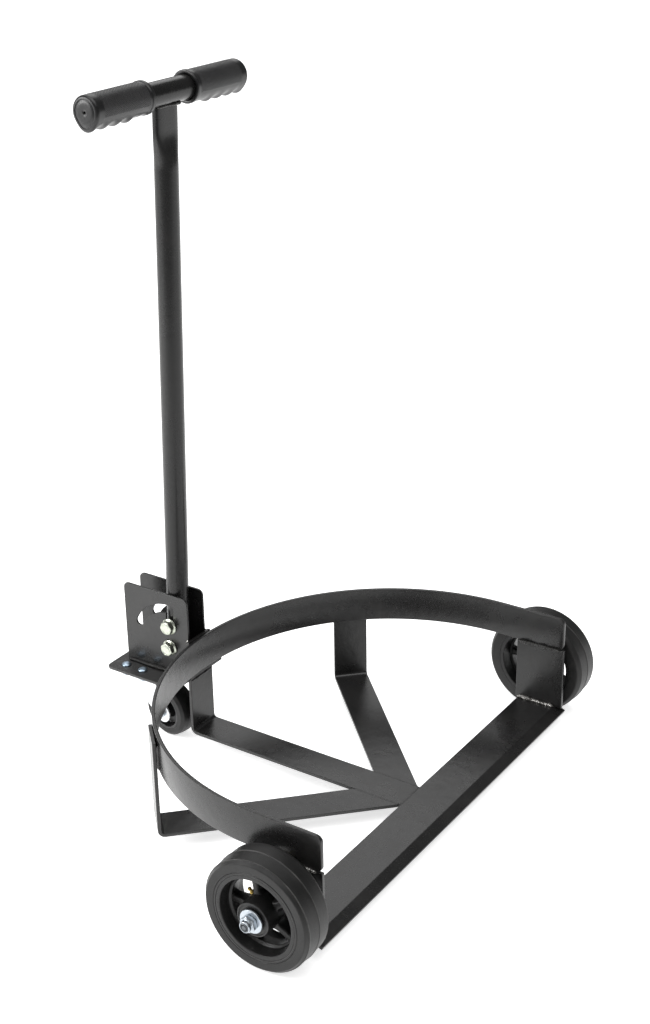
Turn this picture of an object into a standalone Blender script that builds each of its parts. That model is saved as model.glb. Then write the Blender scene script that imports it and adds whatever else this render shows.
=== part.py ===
# Three-wheel dolly: a flat steel hoop on three bent spokes and a cross bar, two fixed wheels, a rear
# swivel caster and a T-handle that lifts in slotted ears. Metres, +Z up, the handle at +Y.
# Origin: the floor, under the middle of the bounding box.
import math

import bmesh
import bpy
import mathutils

GAP = 0.0003  # clearance between touching pieces

# Hoop and the flat bar of the frame
HOOP_R = 0.315
FLAT = 0.005
HOOP_LOW = 0.122
HOOP_TALL = 0.050
HOOP_END_Y = -0.100
HOOP_END_ROUND = 0.009
DECK_TOP = 0.0262  # top of the cross bar and the spokes
SPOKE_WIDE = 0.050
SPOKE_TURN = math.radians(45)
SPOKE_MEET_Y = -0.017
REAR_UPRIGHT_INSIDE = 0.318
REAR_UPRIGHT_TOP = 0.170
SIDE_UPRIGHT_TOP = 0.164
BEND_INSIDE = 0.005

# Cross bar with its front lip
BAR_REAR_Y = -0.0298
BAR_CREASE_Y = -0.0875
LIP_LONG = 0.0163
LIP_DROP = math.radians(20)

BAR_HALF = 0.3203

# Plates that carry the fixed wheels, in line with the hoop's band
SIDE_INSIDE = HOOP_R - FLAT
SIDE_REAR_Y = -0.0257
SIDE_FRONT_Y = -0.1007
STUD_SEAT = SIDE_INSIDE + 0.0015  # bottom of the blind hole that holds the stud

# Fixed wheels: |x| of each face
WHEEL_R = 0.076
WHEEL_Y = -0.0458
TYRE_IN, TYRE_OUT = 0.3275, 0.3760
TYRE_SHOULDER = 0.0055
TYRE_SIDE_R = 0.0712
RIM_R = 0.0566
RIM_OPENING_R = 0.051
HUB_IN, HUB_OUT = 0.3179, 0.3797
HUB_BORE = 0.0083
BUSH_PROUD = 0.0007
WHEEL_SPOKES = 5
SPOKE_PHASE = math.radians(36)
AXLE_R = 0.006
AXLE_TIP = 0.397
WASHER_THICK = 0.003
INNER_WASHER_R, OUTER_WASHER_R = 0.012, 0.0157
AXLE_NUT = 0.019

# Bracket behind the hoop
BRACKET_TOP = 0.109
BRACKET_THICK = 0.004
BRACKET_HALF = 0.0546
BRACKET_REAR_Y = 0.4499
EAR_OUTSIDE = 0.0195
EAR_THICK = 0.003
EAR_REAR_Y = 0.4368
EAR_TOP = 0.2334
EAR_ROUND = 0.008
PLATE_ROUND = 0.008

# Handle: its frame stands at the pivot, with z up the tube
PIVOT_Y, PIVOT_Z = 0.3566, 0.1498
HANDLE_LEAN = math.radians(2.03)
TUBE_R = 0.0158
TUBE_WALL = 0.0025
TUBE_BOTTOM = -0.0365
FLAT_LONG, FLAT_TAPER = 0.030, 0.050  # pressed length under the T-bar, and the change from round
FLAT_WIDER, FLAT_THINNER = 0.0057, 0.0098
T_BAR_UP = 0.7807
T_BAR_HALF = 0.145
GRIP_R = 0.0207
GRIP_IN, GRIP_OUT = 0.0415, 0.1495
VENT_R = 0.0015
RIDGE_PITCH = 0.022
RIDGE_DEEP = 0.0040
LOCK_UP = 0.0344
SLOT_ARC_R = 0.0602
SLOT_HALF = 0.0065
SLOT_SWING = math.radians(65)
LIFT = SLOT_ARC_R - LOCK_UP
M12_FLANGE = 0.012
M12_TALL = 0.0105
M12_HEX = 0.018

# Caster
CASTER_Y = 0.4115
CASTER_TOP = BRACKET_TOP - BRACKET_THICK
CASTER_TRAIL = 0.040
CASTER_PLATE = 0.0025
CASTER_WHEEL_R = 0.040
CASTER_TURN = math.radians(-8)
CASTER_LEG_IN, CASTER_LEG_THICK = 0.0180, 0.0025
CASTER_HALF = 0.016
CROWN_TOP, CROWN_LOW = -0.0121, -0.0149
KING_PIN_R = 0.006
PLATE_BOLT_X, PLATE_BOLT_Y = 0.037, 0.01505
M8_R = 0.004
M8_HOLE_R = M8_R + GAP
M8_HEX = 0.013
M8_NUT_TALL = 0.0065

# The hoop's centre, seen from the middle of the bounding box
HOOP_Y = -(WHEEL_Y - WHEEL_R + BRACKET_REAR_Y) / 2


def clear_scene():
    for obj in list(bpy.data.objects):
        bpy.data.objects.remove(obj)


def material(name, colour, roughness, metallic):
    made = bpy.data.materials.new(name)
    made.use_nodes = True
    shader = made.node_tree.nodes["Principled BSDF"]
    shader.inputs["Base Color"].default_value = (*colour, 1)
    shader.inputs["Roughness"].default_value = roughness
    shader.inputs["Metallic"].default_value = metallic
    return made


def empty(name, place, turn=(0, 0, 0), parent=None):
    made = bpy.data.objects.new(name, None)
    bpy.context.collection.objects.link(made)
    made.location = place
    made.rotation_euler = turn
    made.parent = parent
    return made


def solid(name, bm, finish, parent=None, place=(0, 0, 0), turn=(0, 0, 0), smooth=None):
    """An object from a closed bmesh, its faces turned outwards; smooth is the sharp-edge angle in degrees."""
    bmesh.ops.recalc_face_normals(bm, faces=bm.faces)
    mesh = bpy.data.meshes.new(name)
    bm.to_mesh(mesh)
    bm.free()
    if smooth:
        mesh.shade_smooth()
        mesh.set_sharp_from_angle(angle=math.radians(smooth))
    mesh.materials.append(finish)
    made = bpy.data.objects.new(name, mesh)
    bpy.context.collection.objects.link(made)
    made.location = place
    made.rotation_euler = turn
    made.parent = parent
    return made


def prism(outline, low, high, along="z", bm=None):
    """The outline pushed from low to high. It is in the two other axes, in X, Y, Z order."""
    bm = bm or bmesh.new()

    def corner(p, level):
        spot = {"x": (level, *p), "y": (p[0], level, p[1]), "z": (*p, level)}
        return bm.verts.new(spot[along])

    base = bm.faces.new([corner(p, low) for p in outline])
    pushed = bmesh.ops.extrude_face_region(bm, geom=[base], use_keep_orig=True)
    moved = [v for v in pushed["geom"] if isinstance(v, bmesh.types.BMVert)]
    step = {"x": (high - low, 0, 0), "y": (0, high - low, 0), "z": (0, 0, high - low)}
    bmesh.ops.translate(bm, verts=moved, vec=step[along])
    return bm


def rectangle(x0, x1, y0, y1):
    return [(x0, y0), (x1, y0), (x1, y1), (x0, y1)]


def arc(centre, radius, start, end, steps):
    """Points round an arc; the angles are in radians from the first axis."""
    angles = [start + (end - start) * i / steps for i in range(steps + 1)]
    return [(centre[0] + radius * math.cos(a), centre[1] + radius * math.sin(a)) for a in angles]


def hexagon(across):
    """Distance from the axis to a hexagon's side, by angle."""
    third = math.pi / 3
    return lambda angle: across / 2 / math.cos(angle % third - third / 2)


def rings(sections, steps, closed=False):
    """A body of rings round X. Each section is (x, radius), and a radius may be a function of the angle.
    A closed body joins its last ring to its first, and an open one has both ends capped."""
    bm = bmesh.new()
    loops = []
    for x, radius in sections:
        loop = []
        for i in range(steps):
            angle = 2 * math.pi * i / steps
            r = radius(angle) if callable(radius) else radius
            loop.append(bm.verts.new((x, r * math.cos(angle), r * math.sin(angle))))
        loops.append(loop)
    skin(bm, loops, closed)
    return bm


def skin(bm, loops, closed=False):
    """Faces between loops of the same count. A closed run joins the last loop to the first."""
    pairs = list(zip(loops, loops[1:]))
    if closed:
        pairs.append((loops[-1], loops[0]))
    for first, second in pairs:
        for i in range(len(first)):
            j = (i + 1) % len(first)
            bm.faces.new([first[i], first[j], second[j], second[i]])
    if not closed:
        bm.faces.new(loops[0])
        bm.faces.new(loops[-1])


def combine(obj, tool, operation="DIFFERENCE"):
    """Cuts the tool out of the object, or joins it on. The tool is a hidden helper."""
    tool.hide_render = True
    tool.display_type = "WIRE"
    made = obj.modifiers.new(operation.lower(), "BOOLEAN")
    made.operation = operation
    made.solver = "EXACT"
    made.object = tool


def flat_bar_profile(length, height):
    """Side view of a flat bar bent up at its far end, in (along, z), from along 0 to the upright's back."""
    far = length + FLAT
    low = DECK_TOP - FLAT
    bend = (length - BEND_INSIDE, DECK_TOP + BEND_INSIDE)
    outer = arc(bend, BEND_INSIDE + FLAT, -math.pi / 2, 0, 4)
    inner = arc(bend, BEND_INSIDE, 0, -math.pi / 2, 4)
    return [(0, low), *outer, (far, height), (length, height), *inner, (0, DECK_TOP)]


def hoop_band(finish, parent):
    """The flat band on edge: a half ring with two straight ends, whose corners are rounded."""
    straight = [i * HOOP_END_ROUND / 4 for i in range(5)] + [-HOOP_END_Y]
    path = [((HOOP_R, HOOP_END_Y + s), (HOOP_R - FLAT, HOOP_END_Y + s), s) for s in straight[:-1]]
    turns = 56
    for i in range(turns + 1):
        angle = math.pi * i / turns
        out = (HOOP_R * math.cos(angle), HOOP_R * math.sin(angle))
        into = ((HOOP_R - FLAT) * math.cos(angle), (HOOP_R - FLAT) * math.sin(angle))
        path.append((out, into, HOOP_END_ROUND))
    path += [((-out[0], out[1]), (-into[0], into[1]), s) for out, into, s in reversed(path[:5])]
    bm = bmesh.new()
    loops = []
    for out, into, s in path:
        cut = HOOP_END_ROUND - math.sqrt(HOOP_END_ROUND**2 - (HOOP_END_ROUND - s) ** 2)
        low, high = HOOP_LOW + cut, HOOP_LOW + HOOP_TALL - cut
        corners = [(*out, low), (*out, high), (*into, high), (*into, low)]
        loops.append([bm.verts.new(c) for c in corners])
    skin(bm, loops)
    solid("hoop", bm, finish, parent, smooth=30)


def spokes(finish, parent):
    """Three bent flats. The rear one starts at the cross bar, and the side ones are cut to meet it."""
    start = BAR_REAR_Y + GAP
    rear_side = flat_bar_profile(REAR_UPRIGHT_INSIDE - start, REAR_UPRIGHT_TOP)
    profile = [(a + start, z) for a, z in rear_side]
    half = SPOKE_WIDE / 2
    solid("rear_spoke", prism(profile, -half, half, "x"), finish, parent)
    reach = HOOP_R + GAP - SPOKE_MEET_Y * math.sin(SPOKE_TURN)
    for name, side in (("right_spoke", 1), ("left_spoke", -1)):
        bm = prism(flat_bar_profile(reach, SIDE_UPRIGHT_TOP), -half, half, "x")
        turn = side * (SPOKE_TURN - math.pi / 2)
        bmesh.ops.rotate(bm, verts=bm.verts, matrix=turned(turn))
        bmesh.ops.translate(bm, verts=bm.verts, vec=(0, SPOKE_MEET_Y, 0))
        trim(bm, (side * (half + GAP), 0, 0), (side, 0, 0))
        trim(bm, (0, start, 0), (0, 1, 0))
        solid(name, bm, finish, parent)


def turned(angle):
    return mathutils.Matrix.Rotation(angle, 3, "Z")


def trim(bm, point, normal):
    """Cuts away what lies behind a plane and closes the cut."""
    geometry = [*bm.verts, *bm.edges, *bm.faces]
    bmesh.ops.bisect_plane(bm, geom=geometry, plane_co=point, plane_no=normal, clear_inner=True)
    rim = [e for e in bm.edges if e.is_boundary]
    if rim:
        bmesh.ops.holes_fill(bm, edges=rim)


def cross_bar(finish, parent):
    """Flat bar with its front edge pressed down as a ramp."""
    low = DECK_TOP - FLAT
    run, drop = LIP_LONG * math.cos(LIP_DROP), LIP_LONG * math.sin(LIP_DROP)
    thick_y, thick_z = FLAT * math.sin(LIP_DROP), FLAT * math.cos(LIP_DROP)
    tip = (BAR_CREASE_Y - run, DECK_TOP - drop)
    under = (tip[0] + thick_y, tip[1] - thick_z)
    crease_under = (BAR_CREASE_Y + FLAT * math.tan(LIP_DROP / 2), low)
    top = [(BAR_REAR_Y, DECK_TOP), (BAR_CREASE_Y, DECK_TOP), tip]
    outline = [*top, under, crease_under, (BAR_REAR_Y, low)]
    solid("cross_bar", prism(outline, -BAR_HALF, BAR_HALF, "x"), finish, parent)


def side_plate(name, side, finish, parent):
    """Plate between the cross bar and the hoop's straight end, with a blind hole for the wheel's stud."""
    outline = rectangle(SIDE_FRONT_Y, SIDE_REAR_Y, DECK_TOP + GAP, HOOP_LOW - GAP)
    plate = solid(name, prism(outline, side * SIDE_INSIDE, side * HOOP_R, "x"), finish, parent)
    bottom, mouth = side * (STUD_SEAT - GAP), side * (HOOP_R + FLAT)
    hole = rings([(bottom, AXLE_R + GAP), (mouth, AXLE_R + GAP)], 18)
    combine(plate, solid(name + "_hole", hole, finish, parent, (0, WHEEL_Y, WHEEL_R)))


def bracket(finish, parent):
    """Base plate behind the rear upright, and two ears with an L-shaped slot for the handle's lock bolt."""
    front = REAR_UPRIGHT_INSIDE + FLAT + GAP
    rear_corner = (BRACKET_HALF - PLATE_ROUND, BRACKET_REAR_Y - PLATE_ROUND)
    right = arc(rear_corner, PLATE_ROUND, 0, math.pi / 2, 4)
    left = [(-x, y) for x, y in reversed(right)]
    outline = [(-BRACKET_HALF, front), (BRACKET_HALF, front), *right, *left]
    plate = solid("bracket_plate", prism(outline, CASTER_TOP, BRACKET_TOP), finish, parent)
    combine(plate, bolt_holes("bracket_holes", CASTER_TOP - 0.001, BRACKET_TOP + 0.001, finish, parent))

    def on_handle(up, forward):
        """A point of the handle's own plane, up the tube and towards +Y, in the frame's Y and Z."""
        c, s = math.cos(HANDLE_LEAN), math.sin(HANDLE_LEAN)
        return (PIVOT_Y - up * s + forward * c, PIVOT_Z + up * c + forward * s)

    mid, swing = math.pi / 2, SLOT_SWING
    inner, outer = SLOT_ARC_R - SLOT_HALF, SLOT_ARC_R + SLOT_HALF
    end = (SLOT_ARC_R * math.cos(mid - swing), SLOT_ARC_R * math.sin(mid - swing))
    lead = math.asin(SLOT_HALF / inner)
    slot = arc((0, 0), outer, mid - swing, mid, 8)
    slot += arc((0, SLOT_ARC_R), SLOT_HALF, mid, 2 * mid, 4)[1:]
    slot += arc((0, LOCK_UP), SLOT_HALF, 2 * mid, 4 * mid, 8)
    slot += arc((0, 0), inner, mid - lead, mid - swing, 8)
    slot += arc(end, SLOT_HALF, mid - swing - math.pi, mid - swing, 6)[1:-1]
    slot = [on_handle(up, forward) for forward, up in slot]
    hole = arc(on_handle(0, 0), AXLE_R + GAP, 0, 2 * math.pi, 18)[:-1]
    bm = bmesh.new()
    for outline in (slot, hole):
        prism(outline, -EAR_OUTSIDE - 0.002, EAR_OUTSIDE + 0.002, "x", bm)
    cutter = solid("ear_cutter", bm, finish, parent)
    top = arc((EAR_REAR_Y - EAR_ROUND, EAR_TOP - EAR_ROUND), EAR_ROUND, 0, math.pi / 2, 3)
    top += arc((front + EAR_ROUND, EAR_TOP - EAR_ROUND), EAR_ROUND, math.pi / 2, math.pi, 3)
    outline = [(front, BRACKET_TOP + GAP), (EAR_REAR_Y, BRACKET_TOP + GAP), *top]
    for name, side in (("right_ear", 1), ("left_ear", -1)):
        bm = prism(outline, side * (EAR_OUTSIDE - EAR_THICK), side * EAR_OUTSIDE, "x")
        combine(solid(name, bm, finish, parent), cutter)


def bolt_places():
    pairs = [(x, y) for x in (-PLATE_BOLT_X, PLATE_BOLT_X) for y in (-PLATE_BOLT_Y, PLATE_BOLT_Y)]
    return [(x, CASTER_Y + y) for x, y in pairs]


def bolt_holes(name, low, high, finish, parent):
    bm = bmesh.new()
    for spot in bolt_places():
        prism(arc(spot, M8_HOLE_R, 0, 2 * math.pi, 12)[:-1], low, high, "z", bm)
    return solid(name, bm, finish, parent)


def flange_bolt(name, length, finish, parent, place):
    """M12 flange bolt along X, its head at the -X end. The shank starts at the local origin."""
    flange, tall, across = M12_FLANGE, M12_TALL, M12_HEX
    sections = [(-tall, hexagon(across * 0.9)), (-tall + 0.001, hexagon(across))]
    sections += [(-0.004, hexagon(across)), (-0.003, flange * 0.96)]
    sections += [(-0.001, flange), (0, flange), (0, AXLE_R)]
    sections += [(length - 0.001, AXLE_R), (length, AXLE_R - 0.001)]
    solid(name, rings(sections, 18), finish, parent, place, smooth=35)


def flange_nut(name, finish, parent, place):
    """M12 flange nut along X, its flange at the local origin and its body towards +X."""
    flange, tall, across = M12_FLANGE, M12_TALL, M12_HEX
    bore = AXLE_R + GAP
    sections = [(0, bore), (0, flange), (0.001, flange), (0.003, flange * 0.96)]
    sections += [(0.004, hexagon(across)), (tall - 0.001, hexagon(across))]
    sections += [(tall, hexagon(across * 0.9)), (tall, bore)]
    solid(name, rings(sections, 18, closed=True), finish, parent, place, smooth=35)


def oval(half_x, half_y, power):
    """Points of a superellipse by angle, from a circle at power 1 to nearly a rectangle near 0."""

    def spot(angle):
        c, s = math.cos(angle), math.sin(angle)
        return half_x * math.copysign(abs(c) ** power, c), half_y * math.copysign(abs(s) ** power, s)

    return spot


def pressed(press, wall=0):
    """The tube's section, round at press 0 and flat at 1, its outside or a wall further in."""
    half_x = TUBE_R - wall + FLAT_WIDER * press
    half_y = TUBE_R - wall - FLAT_THINNER * press
    return oval(half_x, half_y, 1 - 0.45 * press)


def handle(paint, grip, parent):
    """Tube flattened under the T-bar, and the T-bar with its grips. Its z runs up the tube from the pivot."""
    top = T_BAR_UP - TUBE_R - GAP
    flat_from = top - FLAT_LONG
    round_to = flat_from - FLAT_TAPER
    stations = [(TUBE_BOTTOM, 0), (round_to, 0), (round_to + 0.017, 0.25)]
    stations += [(flat_from - 0.015, 0.8), (flat_from, 1), (top, 1)]
    outside = [(z, pressed(press)) for z, press in stations]
    inside = [(z, pressed(press, TUBE_WALL)) for z, press in stations[:-1]]
    steps = 24
    bm = bmesh.new()
    loops = []
    for z, spot in [*reversed(inside), *outside]:
        points = [spot(2 * math.pi * i / steps) for i in range(steps)]
        loops.append([bm.verts.new((*p, z)) for p in points])
    skin(bm, loops)
    tube = solid("handle_tube", bm, paint, parent, smooth=40)
    clear = AXLE_R + 2 * GAP
    slot = arc((0, 0), clear, 0, math.pi, 8) + arc((0, -LIFT), clear, math.pi, 2 * math.pi, 8)
    through = TUBE_R + 0.004
    bm = prism(slot, -through, through, "x")
    hole = arc((0, LOCK_UP), AXLE_R + GAP, 0, 2 * math.pi, 18)[:-1]
    prism(hole, -through, through, "x", bm)
    combine(tube, solid("tube_cutter", bm, paint, parent))
    bar = [(-T_BAR_HALF, TUBE_R), (T_BAR_HALF, TUBE_R)]
    bar += [(T_BAR_HALF, TUBE_R - TUBE_WALL), (-T_BAR_HALF, TUBE_R - TUBE_WALL)]
    solid("t_bar", rings(bar, 24, closed=True), paint, parent, (0, 0, T_BAR_UP), smooth=40)
    hand_grip("right_grip", 1, grip, parent)
    hand_grip("left_grip", -1, grip, parent)


def hand_grip(name, side, finish, parent):
    """Sleeve with a closed outer end and a small vent hole; its underside has finger ridges."""
    first_ridge = GRIP_OUT - 0.004

    def outside(x, size=1.0):
        wave = 0.5 + 0.5 * math.cos(2 * math.pi * (first_ridge - x) / RIDGE_PITCH)
        fade = min(1.0, max(0.0, (x - GRIP_IN - 0.018) / 0.02))

        def radius(angle):
            down = max(0.0, -math.sin(angle)) ** 5
            return size * GRIP_R + RIDGE_DEEP * wave * fade * down

        return radius

    bore = TUBE_R + GAP
    cavity_end = T_BAR_HALF + GAP
    collar_r, collar_end = GRIP_R + 0.001, GRIP_IN + 0.005
    sections = [(GRIP_IN, bore), (GRIP_IN, collar_r), (collar_end, collar_r)]
    sections.append((collar_end + 0.0005, outside(GRIP_IN)))
    stations = 9
    for i in range(1, stations + 1):
        x = GRIP_IN + 0.012 + (first_ridge - GRIP_IN - 0.012) * i / stations
        sections.append((x, outside(x)))
    sections += [(GRIP_OUT - 0.0012, outside(GRIP_OUT, 0.96)), (GRIP_OUT, outside(GRIP_OUT, 0.88))]
    sections += [(GRIP_OUT, VENT_R), (cavity_end, VENT_R), (cavity_end, bore)]
    bm = rings(sections, 24, closed=True)
    for v in bm.verts:
        v.co.x = side * v.co.x
    solid(name, bm, finish, parent, (0, 0, T_BAR_UP), smooth=40)


def fixed_wheel(side, name, paints, parent):
    """Rubber tyre on a spoked cast centre, with a bush, on a stud set in the side plate.
    Its own x runs outwards from the middle of the tyre."""
    middle = (TYRE_IN + TYRE_OUT) / 2
    half = (TYRE_OUT - TYRE_IN) / 2
    turn = 0 if side > 0 else math.pi
    axis = empty(name + "_axis", (side * middle, WHEEL_Y, WHEEL_R), (0, 0, turn), parent)
    shoulder, shoulder_r = half - TYRE_SHOULDER, WHEEL_R - 0.001
    tyre = [(-half, RIM_R + GAP), (-half, TYRE_SIDE_R), (-shoulder, shoulder_r), (0, WHEEL_R)]
    tyre += [(shoulder, shoulder_r), (half, TYRE_SIDE_R), (half, RIM_R + GAP)]
    solid(name + "_tyre", rings(tyre, 40, closed=True), paints["tyre"], axis, smooth=30)
    wheel_centre(side, name, half, middle, paints["cast"], axis)
    bush_r = HUB_BORE - GAP
    bush_in, bush_out = HUB_IN - middle, HUB_OUT + BUSH_PROUD - middle
    stud_clear = AXLE_R + 0.0004
    sleeve = [(bush_in, bush_r), (bush_out, bush_r), (bush_out, stud_clear), (bush_in, stud_clear)]
    solid(name + "_bush", rings(sleeve, 24, closed=True), paints["bronze"], axis, smooth=30)
    grease_nipple(side, name, paints["brass"], axis)
    stud = [(STUD_SEAT, AXLE_R - 0.0005), (STUD_SEAT + 0.0005, AXLE_R)]
    stud += [(AXLE_TIP - 0.0013, AXLE_R), (AXLE_TIP, AXLE_R - 0.0013)]
    stud = [(x - middle, r) for x, r in stud]
    solid(name + "_stud", rings(stud, 18), paints["zinc"], axis, smooth=30)
    inner, outer = HOOP_R + GAP, HUB_OUT + BUSH_PROUD + GAP
    inner_end = HUB_IN - GAP
    washer(name + "_inner_washer", inner - middle, inner_end - middle, INNER_WASHER_R, paints["zinc"], axis)
    outer_end = outer + WASHER_THICK
    washer(name + "_outer_washer", outer - middle, outer_end - middle, OUTER_WASHER_R, paints["zinc"], axis)
    x = outer_end + GAP - middle
    bore, side_at = AXLE_R + GAP, hexagon(AXLE_NUT)
    nut = [(x, bore), (x, 0.0085), (x + 0.0008, side_at), (x + 0.0070, side_at), (x + 0.0076, 0.0082)]
    nut += [(x + 0.0080, 0.0074), (x + 0.0115, 0.0072), (x + 0.0122, 0.0066), (x + 0.0122, bore)]
    solid(name + "_nut", rings(nut, 18, closed=True), paints["zinc"], axis, smooth=35)


def wheel_centre(side, name, half, middle, finish, axis):
    """Rim and hub joined by flat ribs."""
    rim = [(-half, RIM_R), (half, RIM_R), (half, RIM_OPENING_R), (0.006, 0.0485), (0.005, 0.045)]
    rim += [(-0.005, 0.045), (-0.006, 0.0485), (-half, RIM_OPENING_R)]
    centre = solid(name + "_centre", rings(rim, 32, closed=True), finish, axis, smooth=30)
    hub_in, hub_out = HUB_IN - middle, HUB_OUT - middle
    hub = [(hub_in, HUB_BORE), (hub_in, 0.019), (-0.012, 0.023), (0.012, 0.023)]
    hub += [(hub_out, 0.0225), (hub_out, HUB_BORE)]
    combine(centre, solid(name + "_hub", rings(hub, 24, closed=True), finish, axis), "UNION")
    bm = bmesh.new()
    for i in range(WHEEL_SPOKES):
        angle = 2 * math.pi * (i + 0.5) / WHEEL_SPOKES + SPOKE_PHASE
        before = len(bm.verts)
        prism(rectangle(0.018, 0.047, -0.0045, 0.0045), -0.004, 0.004, "x", bm)
        bm.verts.ensure_lookup_table()
        for v in bm.verts[before:]:
            y, z = v.co.y, v.co.z
            v.co.y = side * (y * math.cos(angle) - z * math.sin(angle))
            v.co.z = y * math.sin(angle) + z * math.cos(angle)
    combine(centre, solid(name + "_spokes", bm, finish, axis), "UNION")


def grease_nipple(side, name, finish, axis):
    """It stands on the hub, above the handle's side, between two ribs."""
    nipple = [(0, 0.0030), (0.0035, hexagon(0.007)), (0.0036, 0.0019), (0.005, 0.0019)]
    nipple += [(0.0055, 0.0026), (0.0075, 0.0024), (0.009, 0.0012)]
    tilt, foot = SPOKE_PHASE, 0.0233
    spot = (0, side * foot * math.cos(tilt), foot * math.sin(tilt))
    bm = rings(nipple, 12)
    for v in bm.verts:
        x, y, z = v.co
        out_y = side * (x * math.cos(tilt) - z * math.sin(tilt))
        v.co = (y, out_y, x * math.sin(tilt) + z * math.cos(tilt))
    solid(name + "_grease_nipple", bm, finish, axis, spot, smooth=40)


def washer(name, x0, x1, radius, finish, axis):
    bore = AXLE_R + GAP
    ring = [(x0, bore), (x0, radius), (x1, radius), (x1, bore)]
    solid(name, rings(ring, 24, closed=True), finish, axis, smooth=30)


def plate_fasteners(finish, parent):
    """Four M8 bolts down through the bracket plate and the caster's plate, with their nuts below."""
    foot = CASTER_TOP - 2 * GAP - CASTER_PLATE
    reach = BRACKET_TOP + GAP - foot + 0.0095
    bolt = [(0.0030, 0.0042), (0.0027, 0.0056), (0, 0.0072), (0, M8_R)]
    bolt += [(0.0008 - reach, M8_R), (-reach, M8_R - 0.0007)]
    side = hexagon(M8_HEX)
    nut = [(0, M8_HOLE_R), (0, side), (-M8_NUT_TALL, side), (-M8_NUT_TALL, M8_HOLE_R)]
    for number, (x, y) in enumerate(bolt_places(), 1):
        standing(f"plate_bolt_{number}", bolt, 12, finish, parent, (x, y, BRACKET_TOP + GAP))
        standing(f"plate_nut_{number}", nut, 12, finish, parent, (x, y, foot - GAP), closed=True)


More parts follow.
